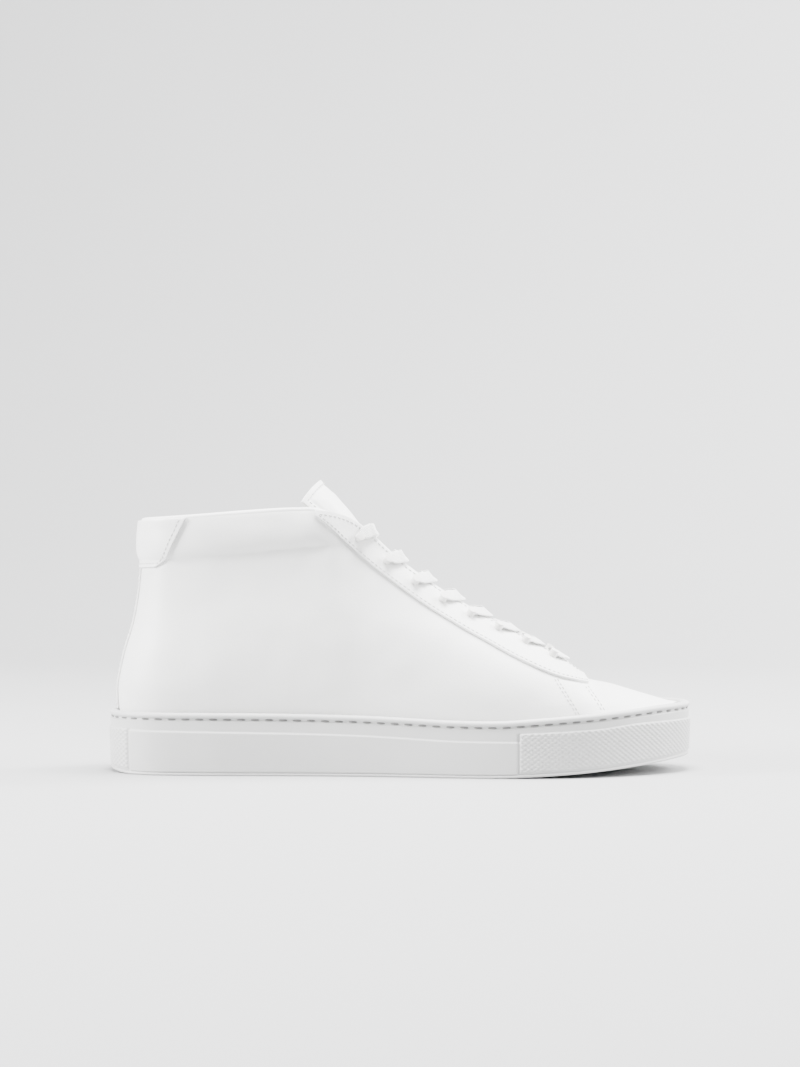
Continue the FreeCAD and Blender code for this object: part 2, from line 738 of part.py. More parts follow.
def main():
    os.makedirs("parts", exist_ok=True)
    save("cupsole", cupsole())
    save("sole_stitching", sole_stitching())
    save("midsole_filler", layer(filler_under, filler_over, FILLER_INSET))
    save("lasting_board", layer(board_under, board_over, BOARD_INSET))
    save("footbed_foam", layer(foam_under, foam_over, BOARD_INSET))
    save("footbed_cover", layer(footbed_under, footbed_over, BOARD_INSET))
    for side, name in ((LATERAL, "lateral"), (MEDIAL, "medial")):
        holes = hole_cutter(side)
        save(f"quarter_{name}", quarter(side).cut(holes))
        save(f"eyestay_{name}", eyestay(side).cut(holes))
        save(f"lining_{name}", lining(side).cut(holes))
        save(f"eyelet_tape_{name}", eyelet_tape(side).cut(holes))
    save("vamp", vamp())
    save("heel_tab", heel_tab())
    save("backstay", backstay())
    save("vamp_lining", vamp_lining())
    save("toe_puff", toe_puff())
    save("heel_counter", heel_counter())
    save("collar_foam", collar_foam())
    save("lace_bar", lace_bar())
    for side, name in ((LATERAL, "lateral"), (MEDIAL, "medial")):
        runs = [crossing(side, row) for row in range(EYELETS - 1)]
        save(f"lace_crossings_{name}", Part.makeCompound(runs))
        save(f"lace_end_{name}", lace_end(side))
        save(f"aglet_{name}", aglet(side))
    low, high = [tongue_shift(FLEX_AT, way * FLEX_SLOT / 2) for way in (-1, 1)]
    for piece in TONGUE_LAYERS:
        save(f"tongue_{piece}", tongue_piece(piece, TONGUE_ENDS[0], low))
        save(f"tongue_top_{piece}", tongue_piece(piece, high, TONGUE_ENDS[1]))


main()
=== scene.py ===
import bpy
import json
import math
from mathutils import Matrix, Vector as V
from mathutils import noise


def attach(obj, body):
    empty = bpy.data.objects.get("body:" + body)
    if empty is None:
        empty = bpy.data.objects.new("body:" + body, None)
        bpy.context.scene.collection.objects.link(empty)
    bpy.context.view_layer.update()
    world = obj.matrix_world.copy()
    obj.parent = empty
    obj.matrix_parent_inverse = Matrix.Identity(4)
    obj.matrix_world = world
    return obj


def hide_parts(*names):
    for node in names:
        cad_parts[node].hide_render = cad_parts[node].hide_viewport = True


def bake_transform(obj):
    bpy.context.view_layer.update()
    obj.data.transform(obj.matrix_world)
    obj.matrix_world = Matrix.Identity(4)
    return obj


# The visual model of a white leather high top. Sizes are in millimetres, as in the solid model, and
# meshes are made in metres. +X points to the toe, -Y to the outer (lateral) side, +Z up.

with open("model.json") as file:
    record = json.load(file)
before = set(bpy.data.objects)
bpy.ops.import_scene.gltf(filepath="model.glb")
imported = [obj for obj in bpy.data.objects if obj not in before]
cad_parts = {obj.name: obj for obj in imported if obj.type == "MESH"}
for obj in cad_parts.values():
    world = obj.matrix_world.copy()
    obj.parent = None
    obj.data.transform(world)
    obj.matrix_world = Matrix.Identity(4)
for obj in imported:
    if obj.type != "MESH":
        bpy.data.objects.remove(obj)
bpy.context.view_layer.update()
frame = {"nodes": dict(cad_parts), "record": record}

MM = 0.001
LATERAL, MEDIAL = -1, 1
SIDES = ((LATERAL, "lateral"), (MEDIAL, "medial"))

# ---------------------------------------------------------------- sizes shared with the solids
HALF_LENGTH = 150.0
LEATHER = 1.3
LAYER_GAP = 0.15
OVERLAY = LEATHER + LAYER_GAP
LOOSE = 0.35
LINING = 0.9
COLLAR_PADDING = 3.4
COUNTER = 1.4
PUFF = 0.8
TAPE = 0.5
CUP_WALL = 5.0
CUP_HEIGHT = 34.0
CUP_DRAFT = 1.4
LIP_DEPTH = 1.0
TUCK = 0.6
FILLER_TOP_HEEL = 12.5
FILLER_TOP_TOE = 7.5
TOE_SPRING = 8.4
HEEL_BEVEL = 2.0
FLAT = (-136.0, 40.0)
STITCH_PITCH = 7.0
GROOVE = (4.3, 2.3)
EYELETS = 8
FIRST_EYELET_X = -21.4
EYELET_PITCH_X = 14.05
EYELET_INSET = 7.6
EYELET_R = 2.1
LACE = (7.0, 1.1)
LACE_NECK = (2.3, 1.9)
LACE_GATHER = (4.2, 1.4)
LACE_LIFT = 1.1
LACE_CROSS = 2.4
LACE_AHEAD, LACE_BEHIND = 0.3, 0.2
LACE_RISE = [(0.2, 0.6, 4.4), (0.45, 0.6, 6.6), (0.72, 0.5, 7.0), (1.0, 0.3, 7.0), (1.4, 0.2, 7.0)]
LACE_END_ROUTE = [(0.35, 0.02), (0.9, 0.08), (1.35, 0.2), (1.6, 0.36)]
LACE_END_ROUTE += [(1.75, 0.52), (2.0, 0.66), (2.5, 0.75), (3.1, 0.78)]

LIP_LINE = [(-150, 31.6), (-76, 31.5), (-25, 30.7), (0, 29.8), (25, 28.7), (50, 28.6)]
LIP_LINE += [(70, 29.9), (85, 31.0), (100, 32.1), (116, 33.5), (133, 35.0), (150, 35.6)]
# Foot lateral (x, y), foot medial (x, y), top (x, half width, z), three swellings.
RIBS = [
    (-144.8, 0.0, -144.8, 0.0, -133.9, 0.0, 128.6, 7.0, -7.4, -5.0),
    (-140.3, 16.5, -140.3, 16.3, -130.5, 15.5, 128.9, 7.5, -6.0, -5.0),
    (-125.5, 27.8, -125.5, 27.5, -120.0, 25.5, 129.4, 8.0, -3.5, -4.0),
    (-102.0, 31.5, -102.0, 31.0, -101.0, 30.5, 130.6, 8.0, -1.0, -4.0),
    (-76.0, 32.5, -76.0, 30.8, -76.0, 32.2, 132.6, 8.0, 0.0, -3.5),
    (-52.0, 33.2, -52.0, 29.8, -54.0, 32.4, 133.9, 8.0, 1.0, -2.5),
    (-32.0, 34.5, -32.0, 29.4, -37.0, 30.5, 133.2, 8.0, 3.5, 0.0),
    (-13.0, 36.6, -13.0, 30.4, -21.5, 22.5, 126.7, 8.5, 6.5, 3.0),
    (8.0, 40.2, 8.0, 33.0, -1.0, 18.8, 108.2, 9.5, 9.5, 6.0),
    (30.0, 44.4, 30.0, 37.6, 21.0, 16.8, 92.2, 10.5, 12.0, 8.0),
    (52.0, 47.2, 52.0, 42.6, 44.0, 15.0, 78.2, 11.5, 14.0, 9.0),
    (73.0, 47.2, 73.0, 47.0, 66.0, 13.0, 66.2, 10.5, 13.0, 8.0),
    (90.0, 44.7, 90.0, 46.3, 83.0, 9.8, 56.6, 8.5, 11.0, 6.0),
    (104.0, 39.6, 104.0, 42.2, 94.5, 0.0, 48.8, 7.5, 9.0, 5.4),
    (117.0, 32.8, 117.0, 36.8, 108.0, 0.0, 44.8, 6.0, 6.6, 3.8),
    (129.0, 24.3, 129.0, 30.0, 121.0, 0.0, 40.8, 4.5, 4.6, 2.4),
    (138.0, 15.0, 138.0, 22.4, 132.5, 0.0, 37.3, 3.0, 3.0, 1.3),
    (143.2, 6.6, 143.2, 14.6, 141.0, 0.0, 34.2, 1.6, 1.5, 0.6),
    (144.9, -1.0, 144.9, 7.0, 145.2, 0.0, 33.0, 0.4, 0.4, 0.2),
]
TOE_SHIFT = 4.0
TOE_SHIFT_FROM = 13.0
THROAT_END = 13.0
TOE_END = 18.0
HEEL_ROUND = 3.0
EYESTAY_EDGE = [(-46.5, 134.6), (-36.8, 126.1), (-16.8, 108.1), (3.2, 92.1), (23.2, 78.7)]
EYESTAY_EDGE += [(43.2, 67.1), (63.2, 56.5), (79.2, 50.1), (97.0, 45.6)]
EYESTAY_START = 5.62
HEEL_TAB_DROP = 0.245
BACKSTAY_RIBS = 0.27
# The tongue: (x, z) down the middle, radius across, half width.
TONGUE = [
    (99.0, 41.4, 50.0, 11.0),
    (84.0, 48.4, 46.0, 13.0),
    (66.0, 58.8, 42.0, 16.0),
    (48.0, 69.2, 38.0, 18.0),
    (31.0, 79.8, 35.0, 19.0),
    (15.0, 91.0, 33.0, 19.8),
    (0.0, 103.2, 31.0, 19.6),
    (-14.0, 117.8, 29.0, 20.4),
    (-27.3, 134.2, 28.5, 22.6),
    (-40.7, 150.0, 30.0, 25.6),
]
TONGUE_ENDS = (0.0, 9.0)
TONGUE_THICK = 4.6
FLEX_AT = 8.06
TONGUE_TOP_SAG = 3.0

# ---------------------------------------------------------------- sizes of the looks
CREASE_LINE = [(-140, 108.5), (-114, 109.2), (-80, 112.2), (-37, 116.2)]  # below the padded collar
BUMPER_TOP = [(60, 22.4), (100, 24.4), (120, 26.5), (150, 27.3)]
LEDGE_LINE = [(-139, 22.9), (-100, 22.5), (-25, 21.2), (25, 18.9), (50, 18.6), (62, 18.6)]
KNURL = (3.2, 2.4, 0.62)  # pitch along and up the bumpers' diamonds, and their height
TOE_BUMPER_X = 60.0
HEEL_BUMPER_X = -139.0
HEEL_BUMPER_TOP = 23.0
BUMPER_SEAM = (0.9, 0.9, 0.55)  # the groove beside a bumper: depth, distance from its edge, reach
PANEL_OUT = 0.75  # how far the side panel stands out under the ledge
# Sections of the cup, top to bottom: (distance out, depth under the lip or height over the ground).
# The lip counts from the foot line, the groove and the foot from the cup's wall.
LIP_ROUND = 1.6
LIP_SECTION = [(-2.2, 4.0), (0.1, 1.6), (0.5, 0.7), (1.2, 0.25), (2.2, 0.02)]
GROOVE_FLOOR = -1.15
GROOVE_SECTION = [(0.05, 2.0), (-0.1, 2.3), (-0.9, 2.55), (GROOVE_FLOOR, 3.3), (-0.9, 4.05), (-0.1, 4.3)]
FOOT_SECTION = [(0.15, 1.7), (0.2, 1.45), (0.75, 1.2), (0.75, 0.5), (0.4, 0.08), (-0.4, 0.0)]
SOLE_COLUMNS = 1500
SOLE_ROWS = 72
BOTTOM_RINGS = 26
BOTTOM_MIDDLE = (-112.0, 98.0)  # the rings under the sole shrink to the middle line between these

COLLAR_SWELL = (1.4, 1.6)  # how far the padded collar swells, at the heel and more at the ankle
CREASE_DENT = (0.4, 0.7)  # depth of the crease under it, likewise
CREASE_REACH = (0.012, 0.032)  # its distance under the crease line and its reach, as v
VAMP_LAP = 1.15  # how far the vamp's edge dips under the eyestay
TAB_LIFT = 0.15  # the heel tab stands out this much more than the other overlays
BACKSTAY_SINK = 0.35  # and the backstay this much less
COLLAR_V = 0.992  # where the soft collar edge takes over from the quarter
TONGUE_RIM = 2.3  # thickness of the tongue at its free edges
TONGUE_ROW = 20.0  # length of one row of TONGUE near its top
TONGUE_BEND = (-0.3, 0.4)  # the bend's ends, in rows from FLEX_AT
TONGUE_SEAM_START = 5.5  # the row where the seam round its top begins
TONGUE_SEAM_INSET = 2.4

# Stitches: pitch, length, thickness.
OVERLAY_STITCH = (2.55, 1.95, 0.46)
QUARTER_STITCH = (2.5, 1.95, 0.46)
BACKSTAY_STITCH = (2.9, 2.2, 0.5)
TONGUE_STITCH = (2.6, 2.0, 0.46)
SOLE_STITCH = (STITCH_PITCH, 4.8, 0.85)
STITCH_ROWS = 1.5  # distance between twin rows of stitches
TOE_SEAMS = (((77.6, 49.4), (88.4, 31.2)), ((93.6, 45.0), (101.4, 32.9)))  # (x, z) of their ends
TAB_STITCH_INSET = 0.055

LACE_SECTION = 14  # corners of the lace's section
LACE_STEP = 0.55
LACE_INSIDE = 1.2  # from the lining to the middle of the gathered lace
FULL_TURN = 2 * math.pi


# ---------------------------------------------------------------- shape of the shoe
def smooth(rows, at):
    """The row at a place along a smooth run through rows, counted in rows."""
    last = len(rows) - 1
    i = min(max(int(math.floor(at)), 0), last - 1)
    f = at - i
    start, end = rows[i], rows[i + 1]
    before = rows[i - 1] if i else [2 * a - b for a, b in zip(start, end)]
    after = rows[i + 2] if i + 2 <= last else [2 * b - a for a, b in zip(start, end)]
    found = []
    for p, q, r, s in zip(before, start, end, after):
        bend = 2 * p - 5 * q + 4 * r - s + f * (3 * (q - r) + s - p)
        found.append(q + 0.5 * f * (r - p + f * bend))
    return found


def height(line, x):
    """z at x on the smooth line through (x, z) points."""
    i = 0
    while i < len(line) - 2 and x > line[i + 1][0]:
        i += 1

    def slope(k):
        a, b = line[max(k - 1, 0)], line[min(k + 1, len(line) - 1)]
        return (b[1] - a[1]) / (b[0] - a[0])

    (x0, z0), (x1, z1) = line[i], line[i + 1]
    span = x1 - x0
    f = min(max((x - x0) / span, 0.0), 1.0)
    rise = z1 - z0
    first, second = slope(i) * span, slope(i + 1) * span
    return z0 + f * (first + f * (3 * rise - 2 * first - second + f * (first + second - 2 * rise)))


def ramp(value, start, end):
    """0 before start, 1 after end, and smooth between."""
    f = min(max((value - start) / (end - start), 0.0), 1.0)
    return f * f * (3 - 2 * f)


def hump(value, middle, reach):
    """1 at the middle, falling to 0 on both sides."""
    return math.exp(-(((value - middle) / reach) ** 2))


def share(low, high, count):
    """count + 1 evenly spaced numbers."""
    return [low + (high - low) * i / count for i in range(count + 1)]


def ground(x):
    """Height of the outsole's underside over the ground."""
    spring = TOE_SPRING * (max(x - FLAT[1], 0.0) / (HALF_LENGTH - FLAT[1])) ** 1.7
    bevel = HEEL_BEVEL * (max(FLAT[0] - x, 0.0) / (HALF_LENGTH + FLAT[0])) ** 2
    return spring + bevel


def board_under(x):
    fall = FILLER_TOP_HEEL - FILLER_TOP_TOE
    return ground(x) + FILLER_TOP_TOE + fall * (1 - ramp(x, -60.0, 60.0))


def lip(x):
    return height(LIP_LINE, x)


MIRRORED = [-n if i in (1, 3, 5) else n for i, n in enumerate(RIBS[1])]
RIB_ROWS = [MIRRORED] + RIBS
KNOWN_RIBS = {}


def rib(side, s):
    """Foot, top and the three swellings of the rib at s on one side."""
    key = (side, round(s, 6))
    if key in KNOWN_RIBS:
        return KNOWN_RIBS[key]
    row = smooth(RIB_ROWS, s + 1)
    x, y = (row[0], row[1]) if side == LATERAL else (row[2], row[3])
    half = row[5]
    if s > THROAT_END - 1:
        left = max(1 - (s - THROAT_END + 1) ** 2, 0.0)
        half = RIBS[int(THROAT_END) - 1][5] * left**0.75
    shift = TOE_SHIFT * ramp(s, TOE_SHIFT_FROM, TOE_END)
    foot = V((x, side * y, lip(x) - LIP_DEPTH))
    round_heel = math.copysign(1 - (1 - min(abs(s), HEEL_ROUND) / HEEL_ROUND) ** 1.6, s)
    turn = math.pi / 2 * round_heel
    facing = V((-math.cos(turn), side * math.sin(turn), 0))
    chord = V((row[4], side * half + shift, row[6])) - foot
    run = chord.normalized()
    out = (facing - run * facing.dot(run)).normalized()
    KNOWN_RIBS[key] = (foot, chord, out, row[7:10], foot.z - board_under(x))
    return KNOWN_RIBS[key]


def on_rib(side, s, v):
    """A point of the upper's outside: v is -1 under the board, 0 in the sole's lip, 1 at the top."""
    foot, chord, out, swell, tall = rib(side, s)
    if v < 0:
        return foot + V((0, -side * TUCK * -v, v * tall))
    w = 1 - v
    bulge = 4 * v * w**3 * swell[0] + 6 * v * v * w * w * swell[1] + 4 * v**3 * w * swell[2]
    return foot + chord * v + out * bulge


def upper(side, s, v, depth):
    """The point at a depth under the upper's outside, or over it where depth is negative."""
    step = 0.02
    along = on_rib(side, s + step, v) - on_rib(side, s - step, v)
    up = on_rib(side, s, v + step) - on_rib(side, s, v - step)
    inward = (along.cross(up) * side).normalized()
    return on_rib(side, s, v) + inward * depth


def rib_place(line, side, s):
    """v where the rib at s crosses a line drawn on the side view."""
    low, high = 0.0, 1.0
    for _ in range(18):
        v = (low + high) / 2
        point = on_rib(side, s, v)
        if point.z < height(line, point.x):
            low = v
        else:
            high = v
    return v


def below_edge(side, s, distance):
    """v at a distance down the rib from its top."""
    v = 1.0
    point = on_rib(side, s, v)
    while distance > 0:
        v -= 0.004
        lower = on_rib(side, s, v)
        distance -= (lower - point).length
        point = lower
    return v


def lining_over(side, s, v):
    """Depth of the lining's outer face: it goes round the padding and the heel counter."""
    round_collar = 1 - ramp(s, 3.9, 5.0)
    padding = COLLAR_PADDING * round_collar * ramp(v, 0.66, 0.86) * (1 - ramp(v, 0.92, 1.0) * 0.75)
    counter = (COUNTER + LOOSE) * (1 - ramp(s, 4.2, 4.7)) * (1 - ramp(v, 0.48, 0.62))
    tape = (TAPE + LOOSE) * ramp(s, 5.6, 6.4)
    return OVERLAY + padding + counter + tape


def lining_under(side, s, v):
    return lining_over(side, s, v) + LINING


CREASE_V = {}


def relief(side, s, v):
    """How far the soft leather stands out of the smooth shape: the padded collar and light waves."""
    key = (side, round(s, 4))
    if key not in CREASE_V:
        CREASE_V[key] = rib_place(CREASE_LINE, side, max(s, 0.02))
    crease = CREASE_V[key]
    padded = 1 - ramp(s, 5.2, 6.6)
    f = min(max((v - crease) / (1 - crease), 0.0), 1.0)
    swell = COLLAR_SWELL[0] + COLLAR_SWELL[1] * ramp(s, 1.5, 4.5)
    pad = swell * padded * math.sin(math.pi * f**0.7) ** 0.75
    deep = CREASE_DENT[0] + CREASE_DENT[1] * hump(s, 4.6, 1.6)
    dent = deep * padded * hump(v, crease - CREASE_REACH[0], CREASE_REACH[1])
    point = on_rib(side, s, v)
    wave = noise.noise(point * 0.028 + V((3.1, side * 7.0, 0.4))) * 0.75
    wave += noise.noise(point * 0.07 + V((side * 2.0, 5.5, 1.7))) * 0.28
    calm = ramp(v, 0.02, 0.16) * (1 - ramp(v, 0.93, 1.0)) * (1 - 0.7 * ramp(s, 12.0, 15.0))
    return pad - dent + wave * calm


def skin(side, s, v, depth):
    return upper(side, s, v, depth - relief(side, s, v))


# ---------------------------------------------------------------- mesh helpers
def finish_mesh(name, points, faces, material, body="shoe", uvs=None):
    mesh = bpy.data.meshes.new(name)
    mesh.from_pydata([p * MM for p in points], [], faces)
    if uvs is not None:
        layer = mesh.uv_layers.new(name="run")
        for loop in mesh.loops:
            layer.data[loop.index].uv = uvs[loop.vertex_index]
    mesh.polygons.foreach_set("use_smooth", [True] * len(mesh.polygons))
    mesh.update()
    piece = bpy.data.objects.new(name, mesh)
    bpy.context.scene.collection.objects.link(piece)
    mesh.materials.append(material)
    if body:
        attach(piece, body)
    return piece


def two_skins(outer, inner, flip):
    """Closed mesh between two grids of points of one size."""
    rows, columns = len(outer), len(outer[0])
    points = [p for row in outer for p in row] + [p for row in inner for p in row]
    second = rows * columns
    faces = []
    for i in range(rows - 1):
        for j in range(columns - 1):
            a = i * columns + j
            quad = (a, a + 1, a + columns + 1, a + columns)
            faces.append(quad)
            faces.append(tuple(second + n for n in quad[::-1]))
    rim = list(range(columns))
    rim += [i * columns + columns - 1 for i in range(1, rows)]
    rim += [(rows - 1) * columns + j for j in range(columns - 2, -1, -1)]
    rim += [i * columns for i in range(rows - 2, 0, -1)]
    for a, b in zip(rim, rim[1:] + rim[:1]):
        faces.append((b, a, second + a, second + b))
    if flip:
        faces = [face[::-1] for face in faces]
    return points, faces


def bevelled(piece, width, segments=3, angle=50):
    modifier = piece.modifiers.new("rounded edges", "BEVEL")
    modifier.width = width * MM
    modifier.segments = segments
    modifier.limit_method = "ANGLE"
    modifier.angle_limit = math.radians(angle)
    return piece


def leather_piece(name, place, over, under, across, up, material, edge=0.35):
    """A sheet of the upper between two depths. place gives (side, s, v) for a spot on it."""
    outer, inner = [], []
    for a in across:
        spots = [place(a, b) for b in up]
        outer.append([skin(*spot, over(*spot)) for spot in spots])
        inner.append([skin(*spot, under(*spot)) for spot in spots])
    middle = len(outer) // 2
    first = outer[middle][len(up) // 2]
    out = (first - inner[middle][len(up) // 2]).normalized()
    along = outer[middle + 1][len(up) // 2] - first
    rise = outer[middle][len(up) // 2 + 1] - first
    points, faces = two_skins(outer, inner, flip=rise.cross(along).dot(out) < 0)
    return bevelled(finish_mesh(name, points, faces, material), edge)


def at_depth(depth):
    return lambda side, s, v: depth


# ---------------------------------------------------------------- materials
def new_material(name):
    material = bpy.data.materials.new(name)
    material.use_nodes = True
    tree = material.node_tree
    tree.nodes.clear()
    shader = tree.nodes.new("ShaderNodeBsdfPrincipled")
    output = tree.nodes.new("ShaderNodeOutputMaterial")
    tree.links.new(shader.outputs["BSDF"], output.inputs["Surface"])
    return material, tree, shader


def node(tree, kind, inputs=None, **settings):
    made = tree.nodes.new(kind)
    for key, value in settings.items():
        setattr(made, key, value)
    for key, value in (inputs or {}).items():
        if isinstance(value, bpy.types.NodeSocket):
            tree.links.new(value, made.inputs[key])
        else:
            made.inputs[key].default_value = value
    return made


def coordinates(tree, uv=False):
    return node(tree, "ShaderNodeTexCoord").outputs["UV" if uv else "Object"]


def math_node(tree, operation, a, b=None):
    inputs = {0: a}
    if b is not None:
        inputs[1] = b
    return node(tree, "ShaderNodeMath", inputs, operation=operation).outputs[0]


def between(tree, factor, low, high):
    """Maps a 0 to 1 value to the range low to high."""
    return node(tree, "ShaderNodeMapRange", {"Value": factor, "To Min": low, "To Max": high}).outputs[0]


def blended(tree, first, second, part):
    """The first value by its part and the second by the rest."""
    rest = math_node(tree, "MULTIPLY", second, 1 - part)
    return math_node(tree, "ADD", math_node(tree, "MULTIPLY", first, part), rest)


def tinted(tree, factor, first, second):
    mix = node(tree, "ShaderNodeMix", data_type="RGBA")
    tree.links.new(factor, mix.inputs["Factor"])
    mix.inputs[6].default_value = (*first, 1)
    mix.inputs[7].default_value = (*second, 1)
    return mix.outputs[2]


def noise_of(tree, place, scale, detail=3.0, rough=0.5):
    inputs = {"Vector": place, "Scale": scale, "Detail": detail, "Roughness": rough}
    return node(tree, "ShaderNodeTexNoise", inputs).outputs["Fac"]


def bumped(tree, shader, layers):
    """Stacks bumps: (height, depth in mm, strength)."""
    normal = None
    for value, depth, strength in layers:
        inputs = {"Height": value, "Distance": depth * MM, "Strength": strength}
        if normal is not None:
            inputs["Normal"] = normal
        normal = node(tree, "ShaderNodeBump", inputs).outputs["Normal"]
    tree.links.new(normal, shader.inputs["Normal"])


def leather_material(name, light, dark, rough=0.46, grain=1.0):
    material, tree, shader = new_material(name)
    place = coordinates(tree)
    cells = node(tree, "ShaderNodeTexVoronoi", {"Vector": place, "Scale": 1150.0}, feature="SMOOTH_F1")
    wide = noise_of(tree, place, 26.0, 4.0)
    fine = noise_of(tree, place, 2600.0, 2.0)
    mid = noise_of(tree, place, 240.0, 3.0)
    tint = blended(tree, wide, mid, 0.7)
    tree.links.new(tinted(tree, tint, dark, light), shader.inputs["Base Color"])
    sheen = blended(tree, mid, wide, 0.5)
    tree.links.new(between(tree, sheen, rough - 0.07, rough + 0.09), shader.inputs["Roughness"])
    bumped(tree, shader, [
        (wide, 0.8, 0.22),
        (mid, 0.14, 0.35 * grain),
        (cells.outputs["Distance"], 0.09, 0.5 * grain),
        (fine, 0.03, 0.35 * grain),
    ])
    shader.inputs["Specular IOR Level"].default_value = 0.42
    return material


def rubber_material(name, light, dark, rough=0.5):
    material, tree, shader = new_material(name)
    place = coordinates(tree)
    wide = noise_of(tree, place, 38.0, 5.0)
    fine = noise_of(tree, place, 1500.0, 3.0)
    specks = noise_of(tree, place, 420.0, 2.0, 0.7)
    tree.links.new(tinted(tree, wide, dark, light), shader.inputs["Base Color"])
    tree.links.new(between(tree, wide, rough - 0.08, rough + 0.1), shader.inputs["Roughness"])
    bumped(tree, shader, [(wide, 0.25, 0.2), (specks, 0.05, 0.25), (fine, 0.035, 0.4)])
    shader.inputs["Specular IOR Level"].default_value = 0.4
    return material


def woven_material(name, light, dark, pitch, rough=0.8):
    """Cloth whose threads follow the piece's own length and width."""
    material, tree, shader = new_material(name)
    place = coordinates(tree, uv=True)
    parts = node(tree, "ShaderNodeSeparateXYZ", {0: place})
    along, across = parts.outputs["X"], parts.outputs["Y"]
    lean = math_node(tree, "ABSOLUTE", across)
    waves = []
    for way in ("ADD", "SUBTRACT"):
        phase = math_node(tree, "MULTIPLY", math_node(tree, way, along, lean), FULL_TURN / pitch)
        waves.append(math_node(tree, "SINE", phase))
    product = math_node(tree, "MULTIPLY", *waves)
    weave = math_node(tree, "ADD", math_node(tree, "MULTIPLY", product, 0.5), 0.5)
    fuzz = noise_of(tree, coordinates(tree), 1900.0, 3.0, 0.7)
    wide = noise_of(tree, coordinates(tree), 60.0, 3.0)
    # The weave's hollows are coloured darker and its crowns lighter: painted shade and painted highlight
    # on the threads; the wide noise adds random tone.
    shade = blended(tree, weave, wide, 0.75)
    tree.links.new(tinted(tree, shade, dark, light), shader.inputs["Base Color"])
    shader.inputs["Roughness"].default_value = rough
    shader.inputs["Sheen Weight"].default_value = 0.25
    shader.inputs["Specular IOR Level"].default_value = 0.25
    bumped(tree, shader, [(weave, 0.22, 0.8), (fuzz, 0.08, 0.5)])
    return material


def cloth_material(name, light, dark, scale, rough=0.85):
    """Cloth or foam seen only inside the shoe."""
    material, tree, shader = new_material(name)
    place = coordinates(tree)
    threads = node(tree, "ShaderNodeTexVoronoi", {"Vector": place, "Scale": scale}, distance="CHEBYCHEV")
    wide = noise_of(tree, place, 45.0, 4.0)
    tree.links.new(tinted(tree, wide, dark, light), shader.inputs["Base Color"])
    shader.inputs["Roughness"].default_value = rough
    bumped(tree, shader, [(threads.outputs["Distance"], 0.2, 0.6), (wide, 0.5, 0.2)])
    return material


def plastic_material(name, light, dark, rough):
    material, tree, shader = new_material(name)
    place = coordinates(tree)
    wide = noise_of(tree, place, 80.0, 4.0)
    tree.links.new(tinted(tree, wide, dark, light), shader.inputs["Base Color"])
    tree.links.new(between(tree, wide, rough - 0.05, rough + 0.08), shader.inputs["Roughness"])
    bumped(tree, shader, [(wide, 0.2, 0.25), (noise_of(tree, place, 1200.0), 0.03, 0.3)])
    return material


WHITE = (0.80, 0.80, 0.79)
SHADE = (0.735, 0.735, 0.725)
LEATHER_SKIN = leather_material("white leather", WHITE, SHADE)
OVERLAY_SKIN = leather_material("white overlay leather", (0.815, 0.815, 0.805), (0.75, 0.75, 0.74), 0.44)
LINING_SKIN = leather_material("lining leather", (0.76, 0.75, 0.73), (0.70, 0.69, 0.67), 0.6, 0.6)
RUBBER = rubber_material("white rubber", (0.54, 0.54, 0.535), (0.48, 0.48, 0.475))
LACE_CLOTH = woven_material("woven lace", (0.86, 0.86, 0.85), (0.66, 0.66, 0.65), 1.5 * MM)
THREAD = woven_material("white thread", (0.80, 0.80, 0.79), (0.60, 0.60, 0.59), 0.5 * MM, 0.6)
SOLE_THREAD = woven_material("sole thread", (0.20, 0.20, 0.195), (0.10, 0.10, 0.10), 0.9 * MM, 0.6)
HIDDEN = {
    "eva_foam": cloth_material("midsole foam", (0.84, 0.84, 0.82), (0.78, 0.78, 0.76), 900.0),
    "board": plastic_material("fibreboard", (0.52, 0.44, 0.33), (0.42, 0.35, 0.26), 0.8),
    "footbed_fabric": cloth_material("footbed cloth", (0.72, 0.71, 0.69), (0.62, 0.61, 0.59), 1400.0),
    "soft_foam": cloth_material("open foam", (0.80, 0.77, 0.68), (0.72, 0.69, 0.60), 1100.0),
    "lining_leather": LINING_SKIN,
    "stiffener": plastic_material("stiffener sheet", (0.66, 0.63, 0.57), (0.58, 0.55, 0.50), 0.7),
    "tape": cloth_material("woven tape", (0.80, 0.80, 0.78), (0.70, 0.70, 0.68), 2000.0),
    "aglet_plastic": plastic_material("lace tip", (0.86, 0.86, 0.85), (0.80, 0.80, 0.79), 0.25),
}


# ---------------------------------------------------------------- stitching
def tube_along(points, outs, width, tall, sides=6, ease=0.35):
    """A short thread: it rises out of the leather, lies on it and dives in again."""
    ring_points, faces, uvs = [], [], []
    count = len(points)
    length = 0.0
    for i, (point, out) in enumerate(zip(points, outs)):
        run = (points[min(i + 1, count - 1)] - points[max(i - 1, 0)]).normalized()
        across = run.cross(out).normalized()
        rise = across.cross(run)
        f = i / (count - 1)
        lift = tall * (math.sin(math.pi * f) ** ease if 0 < f < 1 else 0.0) - tall * 0.55
        size = 0.55 + 0.45 * math.sin(math.pi * f) ** 0.4 if 0 < f < 1 else 0.5
        if i:
            length += (point - points[i - 1]).length
        for k in range(sides):
            angle = FULL_TURN * k / sides
            spot = point + across * (math.cos(angle) * width / 2 * size)
            ring_points.append(spot + rise * (lift + math.sin(angle) * width / 2 * size))
            uvs.append((length * MM, (k / sides) * width * 3 * MM))
    for i in range(count - 1):
        for k in range(sides):
            a, b = i * sides + k, i * sides + (k + 1) % sides
            faces.append((a, b, b + sides, a + sides))
    faces.append(tuple(range(sides))[::-1])
    faces.append(tuple((count - 1) * sides + k for k in range(sides)))
    return ring_points, faces, uvs


def measured(points):
    places = [0.0]
    for a, b in zip(points, points[1:]):
        places.append(places[-1] + (b - a).length)
    return places


